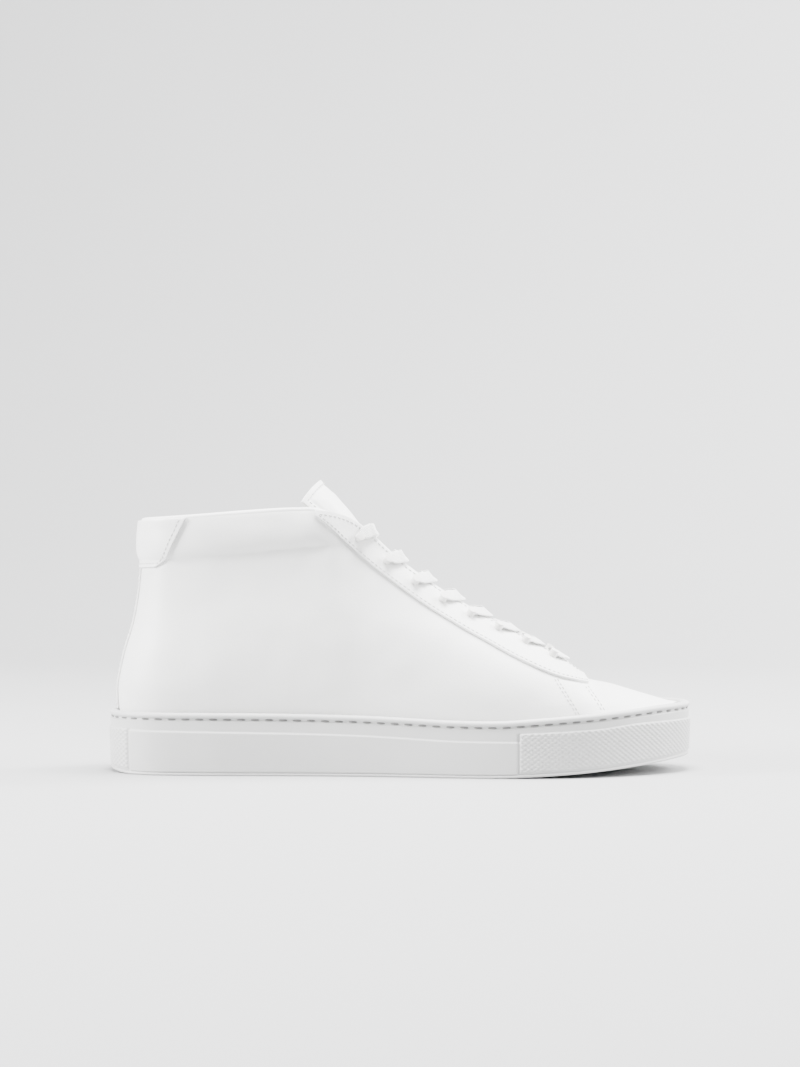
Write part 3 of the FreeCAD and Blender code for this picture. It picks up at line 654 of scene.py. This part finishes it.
def reading(places, values, at):
    """The value at a distance along measured points."""
    i = 0
    while i < len(places) - 2 and places[i + 1] < at:
        i += 1
    f = (at - places[i]) / max(places[i + 1] - places[i], 1e-9)
    return values[i].lerp(values[i + 1], min(max(f, 0.0), 1.0))


def stitches(name, lines, pitch, length, width, material, body="shoe", slot="tape"):
    """One mesh of stitches along each line of (point, way out)."""
    points, faces, uvs = [], [], []
    for line in lines:
        spots, outs = [spot for spot, _ in line], [out for _, out in line]
        places = measured(spots)
        count = max(int(places[-1] / pitch), 1)
        for k in range(count):
            middle = (k + 0.5) * places[-1] / count
            steps = [middle + length * (f - 0.5) for f in share(0, 1, 6)]
            run = [reading(places, spots, at) for at in steps]
            turned = [reading(places, outs, at).normalized() for at in steps]
            new, new_faces, new_uvs = tube_along(run, turned, width, width * 0.75)
            faces += [tuple(len(points) + n for n in face) for face in new_faces]
            points += new
            uvs += new_uvs
    piece = finish_mesh(name, points, faces, material, body, uvs)
    return piece


def skin_line(spots, depth):
    """(point, way out) along spots of the upper."""
    line = []
    for spot in spots:
        point = skin(*spot, depth)
        line.append((point, (skin(*spot, depth - 1.0) - point).normalized()))
    return line


# ---------------------------------------------------------------- outside of the upper
def lace_hole_cutter(side, name):
    """Eight pegs that punch the lace holes."""
    points, faces = [], []
    sides = 20
    for row in range(EYELETS):
        spot = eyelet(side, row)
        low, high = skin(*spot, 9.0), skin(*spot, -5.0)
        run = (high - low).normalized()
        across = run.cross(V((0, 0, 1))).normalized()
        other = run.cross(across)
        start = len(points)
        for end in (low, high):
            for k in range(sides):
                angle = FULL_TURN * k / sides
                points.append(end + (across * math.cos(angle) + other * math.sin(angle)) * EYELET_R)
        for k in range(sides):
            a, b = start + k, start + (k + 1) % sides
            faces.append((a, b, b + sides, a + sides))
        faces.append(tuple(start + k for k in range(sides))[::-1])
        faces.append(tuple(start + sides + k for k in range(sides)))
    mesh = bpy.data.meshes.new(name)
    mesh.from_pydata([p * MM for p in points], [], faces)
    cutter = bpy.data.objects.new(name, mesh)
    bpy.context.scene.collection.objects.link(cutter)
    return cutter


def punched(piece, cutter):
    """Cuts the lace holes into the piece's mesh for good."""
    kept = [(m.width, m.segments, m.angle_limit) for m in piece.modifiers]
    piece.modifiers.clear()
    cut = piece.modifiers.new("holes", "BOOLEAN")
    cut.operation = "DIFFERENCE"
    cut.solver = "EXACT"
    cut.object = cutter
    bpy.context.view_layer.update()
    ready = piece.evaluated_get(bpy.context.evaluated_depsgraph_get())
    mesh = bpy.data.meshes.new_from_object(ready)
    piece.modifiers.clear()
    piece.data = mesh
    mesh.polygons.foreach_set("use_smooth", [True] * len(mesh.polygons))
    for width, segments, angle in kept:
        bevelled(piece, width / MM, segments, math.degrees(angle))


def eyelet(side, row):
    """Spot of a lace hole, row 0 at the ankle."""
    x = FIRST_EYELET_X + row * EYELET_PITCH_X
    low, high = 6.0, 12.6
    for _ in range(18):
        s = (low + high) / 2
        v = below_edge(side, s, EYELET_INSET)
        if on_rib(side, s, v).x < x:
            low = s
        else:
            high = s
    return side, s, v


def quarter(side, name):
    ribs = share(0.02, 12.0, 190) + share(12.03, 12.98, 20)
    up = share(-0.1, 0.1, 6)[:-1] + share(0.1, 1.0, 84)
    piece = leather_piece(f"leather_quarter_{name}", lambda s, v: (side, s, v), at_depth(0.0),
                          at_depth(LEATHER), ribs, up, LEATHER_SKIN, 0.45)
    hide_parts(f"quarter_{name}")
    return piece


def eyestay_place(side):
    def place(s, b):
        low = min(rib_place(EYESTAY_EDGE, side, s), 0.985)
        return side, s, low + (1 - low) * b

    return place


def eyestay(side, name):
    ribs = share(EYESTAY_START, 12.0, 150) + share(12.02, 12.97, 24)
    place = eyestay_place(side)
    piece = leather_piece(f"leather_eyestay_{name}", place, at_depth(-OVERLAY), at_depth(-LAYER_GAP), ribs,
                          share(0.0, 1.0, 26), OVERLAY_SKIN, 0.4)
    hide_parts(f"eyestay_{name}")
    return piece


def over_toe(s, a):
    return (LATERAL if a < 0 else MEDIAL, s, 1 - 2 * abs(a))


def vamp_skin(side, s, v):
    """The vamp's edge goes down under the eyestay."""
    return VAMP_LAP * (1 - ramp(s, 12.95, 14.3))


def vamp():
    ribs = share(12.62, 17.0, 64) + share(17.05, TOE_END, 16)
    rise = share(0.0, 0.55, 60)
    up = [-a for a in rise[::-1]] + rise[1:]

    def under(side, s, v):
        return vamp_skin(side, s, v) + LEATHER

    piece = leather_piece("leather_vamp", over_toe, vamp_skin, under, ribs, up, LEATHER_SKIN, 0.4)
    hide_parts("vamp")


def heel_tab_place(a, b):
    """Spots on the heel tab: its ends slope in and its lower corners are round."""
    reach = 2.08 + 0.58 * b - 0.34 * max(1 - b / 0.26, 0.0) ** 2.2
    return (LATERAL if a < 0 else MEDIAL, abs(a) * reach, 1 - HEEL_TAB_DROP * (1 - b))


def heel_tab():
    up = share(0, 0.3, 24)[:-1] + share(0.3, 1, 34)
    piece = leather_piece("leather_heel_tab", heel_tab_place, at_depth(-OVERLAY - TAB_LIFT),
                          at_depth(-LAYER_GAP), share(-1, 1, 130), up, OVERLAY_SKIN, 0.45)
    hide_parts("heel_tab")


def backstay():
    low = (LIP_DEPTH + 0.3) / (RIBS[0][6] - LIP_LINE[0][1] + LIP_DEPTH)
    high = 1 - HEEL_TAB_DROP - 0.004

    def place(a, b):
        return (LATERAL if a < 0 else MEDIAL, abs(a), low + (high - low) * b)

    outside = -OVERLAY + BACKSTAY_SINK
    piece = leather_piece("leather_backstay", place, at_depth(outside), at_depth(-LAYER_GAP),
                          share(-BACKSTAY_RIBS, BACKSTAY_RIBS, 20), share(0, 1, 90), OVERLAY_SKIN, 0.35)
    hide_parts("backstay")
    lines = []
    for side in (LATERAL, MEDIAL):
        spots = [(side, BACKSTAY_RIBS * 0.8, low + (high - low) * f) for f in share(0.01, 0.99, 90)]
        lines.append(skin_line(spots, outside))
    stitches("thread_backstay", lines, *BACKSTAY_STITCH, THREAD)


def lining(side, name):
    """The lining, rolled outwards over the collar to meet the quarter."""
    ribs = share(0.02, 12.6, 150)
    up = share(-0.35, 1.0, 64)
    outer, inner = [], []
    for s in ribs:
        spots = [(side, s, v) for v in up]
        outer.append([skin_in(*spot, lining_over(*spot)) for spot in spots])
        inner.append([skin_in(*spot, lining_under(*spot)) for spot in spots])
    points, faces = two_skins(outer, inner, flip=side == LATERAL)
    piece = bevelled(finish_mesh(f"lining_{name}_skin", points, faces, LINING_SKIN), 0.3)
    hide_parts(f"lining_{name}")
    return piece


def skin_in(side, s, v, depth):
    """Inner surfaces keep off the relief, but for a soft swell of the padding."""
    padded = (1 - ramp(s, 4.4, 5.6)) * math.sin(math.pi * min(max((v - 0.76) / 0.24, 0.0), 1.0))
    return upper(side, s, v, depth + 0.7 * padded)


def collar_roll(side, name):
    """The soft leather edge between the quarter and the lining along the collar."""
    ribs = share(0.0, 7.0, 110)
    grid = []
    for s in ribs:
        fade = 1 - ramp(s, 5.4, 6.6)
        at = max(s, 0.02)
        start = skin(side, at, COLLAR_V, 0.15)
        end = skin_in(side, at, COLLAR_V, lining_under(side, s, 1.0) - 0.1)
        up = (on_rib(side, at, 1.0) - on_rib(side, at, 0.98)).normalized()
        row = []
        for f in share(0.0, 1.0, 12):
            over = math.pi * f
            middle = start.lerp(end, 0.5 - 0.5 * math.cos(over))
            row.append(middle + up * (0.2 + (0.5 + 1.3 * fade) * math.sin(over)))
        grid.append(row)
    columns = len(grid[0])
    faces = []
    for i in range(len(grid) - 1):
        for j in range(columns - 1):
            a = i * columns + j
            faces.append((a, a + 1, a + columns + 1, a + columns))
    if side == MEDIAL:
        faces = [face[::-1] for face in faces]
    piece = finish_mesh(f"collar_edge_{name}", [p for row in grid for p in row], faces, LEATHER_SKIN)


def vamp_lining():
    over = OVERLAY + PUFF + LOOSE + 0.6
    ribs = share(12.75, 17.3, 40)
    rise = share(0.0, 0.75, 40)
    up = [-a for a in rise[::-1]] + rise[1:]
    piece = leather_piece("lining_vamp_skin", over_toe, at_depth(over), at_depth(over + LINING), ribs, up,
                          LINING_SKIN, 0.3)
    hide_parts("vamp_lining")


# ---------------------------------------------------------------- rows of stitches on the upper
def eyestay_stitching(side, name):
    edge, throat = [], []
    place = eyestay_place(side)
    for s in share(EYESTAY_START + 0.06, 12.93, 220):
        _, _, low = place(s, 0.0)
        top = on_rib(side, s, 1.0)
        tall = (top - on_rib(side, s, low)).length
        if tall > 3.4:
            edge.append((side, s, low + (1 - low) * 1.5 / tall))
            throat.append((side, s, below_edge(side, s, 1.7)))
    lines = [skin_line(edge, -OVERLAY), skin_line(throat, -OVERLAY)]
    stitches(f"thread_eyestay_{name}", lines, *OVERLAY_STITCH, THREAD)


def side_view_line(side, start, end, offset):
    """Spots on the quarter along a straight line of the side view, moved ahead by the offset."""
    spots = []
    for f in share(0.0, 1.0, 24):
        x = start[0] + (end[0] - start[0]) * f + offset
        z = start[1] + (end[1] - start[1]) * f
        s, v = 12.0, 0.5
        for _ in range(30):
            point = on_rib(side, s, v)
            ahead = on_rib(side, s + 0.02, v) - point
            above = on_rib(side, s, v + 0.01) - point
            s += 0.02 * (x - point.x) / max(ahead.x, 1e-6) * 0.7
            v += 0.01 * (z - point.z) / max(above.z, 1e-6) * 0.7
            s, v = min(max(s, 6.0), 13.4), min(max(v, 0.0), 0.99)
        spots.append((side, s, v))
    return spots


def quarter_stitching(side, name):
    lines = []
    for start, end in TOE_SEAMS:
        for offset in (0.0, STITCH_ROWS):
            lines.append(skin_line(side_view_line(side, start, end, offset), 0.0))
    stitches(f"thread_quarter_{name}", lines, *QUARTER_STITCH, THREAD)


def heel_tab_stitching():
    inset = TAB_STITCH_INSET
    spots = [(-1 + inset, f) for f in share(0.99, 0.09, 24)]
    spots += [(a, 0.075) for a in share(-1 + inset, 1 - inset, 100)]
    spots += [(1 - inset, f) for f in share(0.09, 0.99, 24)]
    line = skin_line([heel_tab_place(a, b) for a, b in spots], -OVERLAY - TAB_LIFT)
    stitches("thread_heel_tab", [line], *OVERLAY_STITCH, THREAD)


# ---------------------------------------------------------------- sole
def foot_run(count):
    """Evenly spaced (x, y, way out) round the upper's foot."""
    rough = []
    for side in (LATERAL, MEDIAL):
        run = []
        for s in share(0.0, TOE_END, 720):
            run.append(rib(side, s)[0].xy.to_3d())
        rough += run if side == LATERAL else run[::-1][:-1]
    rough.append(rough[0])
    places = measured(rough)
    total = places[-1]
    points, k = [], 0
    for i in range(count):
        at = total * i / count
        while places[k + 1] < at:
            k += 1
        f = (at - places[k]) / max(places[k + 1] - places[k], 1e-9)
        points.append(rough[k].lerp(rough[k + 1], f))
    eased = points
    for _ in range(6):
        eased = [(eased[i - 1] + eased[i] * 2 + eased[(i + 1) % count]) / 4 for i in range(count)]
    outs = []
    for i in range(count):
        way = (eased[(i + 2) % count] - eased[i - 2]).normalized()
        outs.append(V((way.y, -way.x, 0)))
    if outs[0].x > 0:
        outs = [-out for out in outs]
    return eased, outs, total


def wall_out(z):
    """Distance from the foot line to the outside of the cup at a height."""
    return CUP_WALL - CUP_DRAFT * (1 - z / CUP_HEIGHT)


def cupsole():
    """The rubber cup: lip bead, stitch groove, ledge, side panel and the knurled bumpers."""
    points, outs, total = foot_run(SOLE_COLUMNS)
    pitch = total / round(total / KNURL[0])
    grid = []
    for i, (foot, out) in enumerate(zip(points, outs)):
        along = total * i / SOLE_COLUMNS
        edge_x = foot.x + out.x * CUP_WALL
        top, low = lip(edge_x), ground(edge_x)
        toe = ramp(edge_x, TOE_BUMPER_X - 0.35, TOE_BUMPER_X + 0.35)
        heel = ramp(-edge_x, -HEEL_BUMPER_X - 0.35, -HEEL_BUMPER_X + 0.35)
        bumper = max(toe, heel)
        seam_deep, seam_off, seam_reach = BUMPER_SEAM
        seam = hump(edge_x, TOE_BUMPER_X - seam_off, seam_reach)
        seam += hump(edge_x, HEEL_BUMPER_X + seam_off, seam_reach)
        bumper_top = height(BUMPER_TOP, edge_x) if edge_x > 0 else HEEL_BUMPER_TOP
        ledge = height(LEDGE_LINE, edge_x)
        profile = [(reach, top - down) for reach, down in LIP_SECTION]
        for t in share(0.0, math.pi / 2, 6):
            reach = CUP_WALL - LIP_ROUND + 1.75 * math.sin(t)
            profile.append((reach, top - LIP_ROUND + LIP_ROUND * math.cos(t)))
        profile += [(CUP_WALL + reach, top - down) for reach, down in GROOVE_SECTION]
        profile += [(wall_out(top - 4.6) + 0.05, top - 4.6)]
        floor = low + 1.9
        for f in share(0.0, 1.0, SOLE_ROWS):
            z = top - 4.9 - (top - 4.9 - floor) * f
            reach = wall_out(z) + 0.05
            panel = ramp(ledge - z, 0.0, 0.9) * PANEL_OUT
            knurl_band = ramp(bumper_top - z, 0.0, 0.5) * ramp(z - low - 2.4, 0.0, 0.6)
            wave = math.cos(FULL_TURN * along / pitch) * math.cos(FULL_TURN * z / KNURL[1])
            diamond = 0.5 + 0.5 * wave
            knurl = knurl_band * (0.2 + KNURL[2] * diamond)
            reach += panel * (1 - bumper) + (knurl + 0.25 * ramp(bumper_top - z, -0.1, 0.4)) * bumper
            reach -= seam_deep * seam * ramp(bumper_top + 0.3 - z, 0.0, 0.6)
            profile.append((reach, z))
        reach = wall_out(low + 1.6)
        profile += [(reach + more, low + up) for more, up in FOOT_SECTION]
        grid.append([V((foot.x + out.x * r, foot.y + out.y * r, z)) for r, z in profile])
    columns = len(grid[0])
    verts = [p for row in grid for p in row]
    uvs = [(total * (k // columns) / SOLE_COLUMNS * MM, p.z * MM) for k, p in enumerate(verts)]
    faces = []
    for i in range(SOLE_COLUMNS):
        for j in range(columns - 1):
            a, b = i * columns + j, ((i + 1) % SOLE_COLUMNS) * columns + j
            faces.append((a, b, b + 1, a + 1))
    previous = [i * columns + columns - 1 for i in range(SOLE_COLUMNS)]
    for ring_at in range(1, BOTTOM_RINGS + 1):
        f = ring_at / (BOTTOM_RINGS + 1)
        start = len(verts)
        for i in range(SOLE_COLUMNS):
            edge = grid[i][-1]
            middle = V((min(max(edge.x, BOTTOM_MIDDLE[0]), BOTTOM_MIDDLE[1]), 0.0, 0.0))
            spot = edge.lerp(middle, f)
            verts.append(V((spot.x, spot.y, ground(spot.x))))
            uvs.append((spot.x * MM, spot.y * MM))
        ring = [start + i for i in range(SOLE_COLUMNS)]
        for i in range(SOLE_COLUMNS):
            k = (i + 1) % SOLE_COLUMNS
            faces.append((previous[i], previous[k], ring[k], ring[i]))
        previous = ring
    for i in range(SOLE_COLUMNS // 2):
        a, b = i, i + 1
        c, d = SOLE_COLUMNS - 1 - i, SOLE_COLUMNS - 2 - i
        if b < d:
            faces.append((previous[a], previous[b], previous[d], previous[c]))
    piece = finish_mesh("rubber_cupsole", verts, faces, RUBBER, uvs=uvs)
    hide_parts("cupsole")
    return points, outs, total


def sole_stitching(points, outs, total):
    line = []
    for foot, out in zip(points + points[:1], outs + outs[:1]):
        edge_x = foot.x + out.x * CUP_WALL
        reach = CUP_WALL + GROOVE_FLOOR
        z = lip(edge_x) - (GROOVE[0] + GROOVE[1]) / 2
        line.append((V((foot.x + out.x * reach, foot.y + out.y * reach, z)), out))
    piece = stitches("thread_sole", [line], *SOLE_STITCH, SOLE_THREAD, slot="sole_thread")
    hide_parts("sole_stitching")


# ---------------------------------------------------------------- tongue
def tongue_point(at, a, depth):
    """A point of the tongue: at along its length, a across it from -1 to 1, depth under its face."""
    x, z, radius, half = smooth(TONGUE, at)
    ahead, behind = smooth(TONGUE, at + 0.05), smooth(TONGUE, at - 0.05)
    way = V((ahead[0] - behind[0], 0, ahead[1] - behind[1])).normalized()
    out = V((way.z, 0, -way.x))
    angle = math.asin(half / radius) * a
    reach = radius - depth
    middle = V((x, 0, z)) - out * radius
    end = ramp(at, FLEX_AT, TONGUE_ENDS[1])
    sag = way * (TONGUE_TOP_SAG * abs(a) ** 3 * end)
    return middle + out * (reach * math.cos(angle)) + V((0, reach * math.sin(angle), 0)) - sag


def tongue_edge(at, a):
    """Distance in mm from a place on the tongue to its nearest free edge."""
    half = smooth(TONGUE, at)[3]
    return min((1 - abs(a)) * half, (TONGUE_ENDS[1] - at) * TONGUE_ROW)


def tongue_face(at, a):
    """Depth of the tongue's outside: a dent along the seam and a soft swell inside it."""
    edge = tongue_edge(at, a)
    seam = 0.4 * hump(edge, 3.4, 1.0)
    wave = noise.noise(V((at * 2.1, a * 2.4, 0.7))) * 0.35
    return seam - 0.9 * ramp(edge, 4.0, 11.0) + 0.35 - wave * ramp(edge, 3.0, 8.0)


def tongue_back(at, a):
    """Depth of the tongue's lining side: the padding stops short of the edge."""
    return TONGUE_RIM + (TONGUE_THICK - 0.5 - TONGUE_RIM) * ramp(tongue_edge(at, a), 1.0, 8.0)


def tongue():
    """Padded leather, one piece over the bend, with a seam round its edge."""
    rows = share(0.25, 6.5, 90) + share(6.53, TONGUE_ENDS[1], 90)
    widths = share(-1, 1, 90)
    outer = [[tongue_point(at, a, tongue_face(at, a)) for a in widths] for at in rows]
    inner = [[tongue_point(at, a, tongue_back(at, a)) for a in widths] for at in rows]
    points, faces = two_skins(outer, inner, flip=True)
    piece = finish_mesh("padded_tongue", points, faces, LEATHER_SKIN, body=None)
    bevelled(piece, 0.7, 4)
    names = [f"tongue_{kind}{part}" for kind in ("", "top_") for part in ("face", "foam", "lining")]
    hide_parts(*names)
    bend(piece)
    inset = TONGUE_SEAM_INSET
    top = TONGUE_ENDS[1] - inset / TONGUE_ROW
    corner = 1 - inset / 25
    spots = [(at, -1 + inset / smooth(TONGUE, at)[3]) for at in share(TONGUE_SEAM_START, top, 60)]
    spots += [(top, a) for a in share(-corner, corner, 60)[1:-1]]
    spots += [(at, 1 - inset / smooth(TONGUE, at)[3]) for at in share(top, TONGUE_SEAM_START, 60)]
    line = []
    for at, a in spots:
        depth = tongue_face(at, a)
        point = tongue_point(at, a, depth)
        line.append((point, (tongue_point(at, a, depth - 1) - point).normalized()))
    bend(stitches("thread_tongue", [line], *TONGUE_STITCH, THREAD, body=None))


def bend(piece):
    """Bakes the piece's place into its mesh; the tongue is not turned here."""
    low, high = [tongue_point(FLEX_AT + way, 0, 2.0) for way in TONGUE_BEND]
    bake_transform(piece)


# ---------------------------------------------------------------- laces
def outward(spot):
    return (skin(*spot, -1.0) - skin(*spot, 0.0)).normalized()


def tongue_way_out(x):
    """The way out of the tongue's middle line where it passes x."""
    low, high = TONGUE_ENDS
    for _ in range(18):
        at = (low + high) / 2
        if smooth(TONGUE, at)[0] > x:
            low = at
        else:
            high = at
    return (tongue_point(at, 0.0, 0.0) - tongue_point(at, 0.0, 1.0)).normalized()


def hole_stops(side, row):
    """The lace in a hole: up through it and over the eyestay to the throat edge."""
    spot = eyelet(side, row)
    _, s, v = spot
    to_edge = (skin(side, s + LACE_AHEAD, 1.0, 0.0) - skin(*spot, 0.0)).normalized()
    depths = (lining_under(*spot) + 0.3, OVERLAY, 0.0, -OVERLAY)
    stops = [(skin(*spot, depth), to_edge * -1, LACE_NECK) for depth in depths]
    for way, lift, width in LACE_RISE:
        place = (side, s + LACE_AHEAD * way, v + (1 - v) * way)
        out = outward(place) - to_edge * (1 - ramp(way, 0.0, 0.5))
        stops.append((skin(*place, -OVERLAY - LACE_LIFT - lift), out.normalized(), (width, LACE[1])))
    return stops


def under_stops(side, row):
    """The lace from a hole, between the lining and the tongue, to beyond the throat edge."""
    spot = eyelet(side, row)
    _, s, v = spot
    to_edge = (skin(side, s - LACE_BEHIND, 1.0, 0.0) - skin(*spot, 0.0)).normalized()
    depth = lining_under(*spot)
    start = skin(*spot, depth + LACE_INSIDE) - to_edge * 1.5
    stops = [(start, outward(spot), LACE_GATHER)]
    for way in (0.4, 1.0, 1.45):
        place = (side, s - LACE_BEHIND * way, v + (1 - v) * way)
        stops.append((skin(*place, depth + LACE[1]), outward(place), LACE))
    return stops


def crossing_stops(side, row):
    over = hole_stops(side, row)
    under = under_stops(-side, row + 1)
    start, end = over[-1][0], under[-1][0]
    out = tongue_way_out((start.x + end.x) / 2)
    drop = (start - end).dot(out)
    first = 0.5 + side * LACE_CROSS / 2 / drop
    middle = []
    for f in (0.08, 0.16, 0.3, 0.5, 0.7, 0.84, 0.92):
        fallen = first * ramp(f, 0.0, 0.16) + (1 - first) * ramp(f, 0.84, 1.0)
        middle.append((start + (end - start + out * drop) * f - out * drop * fallen, out, LACE))
    return over + middle + under[::-1]


def bar_stops():
    near, far = [hole_stops(side, EYELETS - 1) for side in (LATERAL, MEDIAL)]
    middle = (near[-1][0] + far[-1][0]) / 2
    return near + [(middle, tongue_way_out(middle.x), LACE)] + far[::-1]


def end_stops(side):
    """A lace end, from the top hole back and down inside the quarter."""
    spot = eyelet(side, 0)
    _, s, v = spot
    stops = [(upper(*spot, lining_under(*spot) + LACE_INSIDE), outward(spot), LACE_GATHER)]
    for ribs, down in LACE_END_ROUTE:
        place = (side, s - ribs, v - down)
        stops.append((skin_in(*place, lining_under(*place) + LACE[1]), outward(place), LACE))
    return stops


def ribbon(stops, seed):
    """A soft flat lace: thick selvedges, a little twist and play along its length."""
    rows = [[*middle, *out, *size] for middle, out, size in stops]
    steps = max(int(measured([middle for middle, _, _ in stops])[-1] / LACE_STEP), 20)
    line = [smooth(rows, at) for at in share(0.0, len(rows) - 1.0001, steps * 2)]
    centres = [V(row[:3]) for row in line]
    places = measured(centres)
    even = []
    k = 0
    for at in share(0.0, places[-1], steps):
        while k < len(places) - 2 and places[k + 1] < at:
            k += 1
        f = (at - places[k]) / max(places[k + 1] - places[k], 1e-9)
        even.append([a + (b - a) * f for a, b in zip(line[k], line[k + 1])])
    points, faces, uvs = [], [], []
    for i, row in enumerate(even):
        middle = V(row[:3])
        before, after = V(even[max(i - 1, 0)][:3]), V(even[min(i + 1, steps)][:3])
        run = (after - before).normalized()
        across = run.cross(V(row[3:6])).normalized()
        rise = across.cross(run).normalized()
        open_out = ramp(row[6], 3.0, 7.0)
        twist = open_out * 0.10 * noise.noise(V((i * 0.05, seed * 3.3, 0.5)))
        c, d = math.cos(twist), math.sin(twist)
        across, rise = across * c + rise * d, rise * c - across * d
        width = row[6] * (1 + 0.03 * noise.noise(V((i * 0.11, seed, 2.0))))
        along = places[-1] * i / steps
        for n in range(LACE_SECTION):
            angle = FULL_TURN * n / LACE_SECTION
            c, d = math.cos(angle), math.sin(angle)
            flat = math.copysign(abs(c) ** 0.45, c)
            tall = math.copysign(abs(d) ** 0.6, d) * (0.86 + 0.14 * abs(flat) ** 4)
            cup = 0.10 * flat * flat * open_out
            points.append(middle + across * (flat * width / 2) + rise * (tall * row[7] / 2 - cup))
            uvs.append((along * MM, flat * width / 2 * MM))
    for i in range(steps):
        for n in range(LACE_SECTION):
            a, b = i * LACE_SECTION + n, i * LACE_SECTION + (n + 1) % LACE_SECTION
            faces.append((a, b, b + LACE_SECTION, a + LACE_SECTION))
    faces.append(tuple(range(LACE_SECTION))[::-1])
    faces.append(tuple(steps * LACE_SECTION + n for n in range(LACE_SECTION)))
    return points, faces, uvs


def lace_piece(name, runs, cad_node):
    points, faces, uvs = [], [], []
    for seed, stops in enumerate(runs):
        new, new_faces, new_uvs = ribbon(stops, seed + len(name) * 0.37)
        faces += [tuple(len(points) + n for n in face) for face in new_faces]
        points += new
        uvs += new_uvs
    piece = finish_mesh(name, points, faces, LACE_CLOTH, uvs=uvs)
    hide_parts(cad_node)


def laces():
    lace_piece("woven_lace_bar", [bar_stops()], "lace_bar")
    for side, name in SIDES:
        runs = [crossing_stops(side, row) for row in range(EYELETS - 1)]
        lace_piece(f"woven_lace_crossings_{name}", runs, f"lace_crossings_{name}")
        lace_piece(f"woven_lace_end_{name}", [end_stops(side)], f"lace_end_{name}")


# ---------------------------------------------------------------- stage
def studio():
    material, tree, shader = new_material("pale floor")
    place = coordinates(tree)
    cloudy = noise_of(tree, place, 3.0, 3.0)
    shade = tinted(tree, cloudy, (0.36, 0.361, 0.363), (0.385, 0.386, 0.388))
    tree.links.new(shade, shader.inputs["Base Color"])
    shader.inputs["Roughness"].default_value = 0.7
    points = []
    profile = [(-2.6, 0.0), (-1.0, 0.0), (0.4, 0.0), (1.0, 0.0)]
    profile += [(1.0 + 0.9 * math.sin(t), 0.9 - 0.9 * math.cos(t)) for t in share(0.1, math.pi / 2, 12)]
    profile += [(1.9, 3.2)]
    for x in (-3.5, 3.5):
        points += [V((x, y, z)) / MM for y, z in profile]
    count = len(profile)
    faces = [(i, i + count, i + count + 1, i + 1) for i in range(count - 1)]
    things = [finish_mesh("studio_floor", points, faces, material, body=None)]

    def lamp(name, place, aim, size, power):
        data = bpy.data.lights.new(name, "AREA")
        data.shape = "RECTANGLE"
        data.size, data.size_y = size
        data.energy = power
        made = bpy.data.objects.new(name, data)
        made.location = place
        made.rotation_euler = (V(aim) - V(place)).to_track_quat("-Z", "Y").to_euler()
        bpy.context.scene.collection.objects.link(made)
        things.append(made)

    lamp("key", (0.1, -0.12, 1.7), (0.0, 0.0, 0.0), (1.1, 0.7), 190.0)
    lamp("right", (1.6, -0.3, 0.8), (0.0, 0.0, 0.08), (0.8, 0.8), 60.0)
    lamp("left", (-1.6, -0.45, 0.7), (0.0, 0.0, 0.08), (0.6, 0.8), 125.0)
    lamp("wall", (1.9, 0.7, 1.7), (1.1, 1.9, 0.5), (1.0, 1.0), 260.0)
    world = bpy.data.worlds.new("studio")
    world.use_nodes = True
    world.node_tree.nodes["Background"].inputs["Color"].default_value = (0.98, 0.99, 1.0, 1)
    world.node_tree.nodes["Background"].inputs["Strength"].default_value = 0.2
    bpy.context.scene.world = world


def camera():
    data = bpy.data.cameras.new("camera")
    data.sensor_width = 36.0
    data.lens = 82.07
    made = bpy.data.objects.new("camera", data)
    made.location = (0.0, -1.260, 0.122)
    made.rotation_euler = (math.pi / 2, 0.0, 0.0)
    bpy.context.scene.collection.objects.link(made)
    bpy.context.scene.camera = made


def hidden_nodes():
    """Solids that stay as they are take a material of their record slot."""
    slots = {part["node"]: part["material_slot"] for part in frame["record"]["subparts"]}
    for name, piece in frame["nodes"].items():
        chosen = HIDDEN.get(slots.get(name), LEATHER_SKIN)
        piece.data.materials.clear()
        piece.data.materials.append(chosen)


hidden_nodes()
for side, name in SIDES:
    pieces = [quarter(side, name), eyestay(side, name), lining(side, name)]
    cutter = lace_hole_cutter(side, f"cutter_{name}")
    for piece in pieces:
        punched(piece, cutter)
    bpy.data.objects.remove(cutter)
    collar_roll(side, name)
    eyestay_stitching(side, name)
    quarter_stitching(side, name)
vamp()
vamp_lining()
heel_tab()
heel_tab_stitching()
backstay()
sole_stitching(*cupsole())
tongue()
laces()
studio()
camera()

bpy.context.view_layer.update()
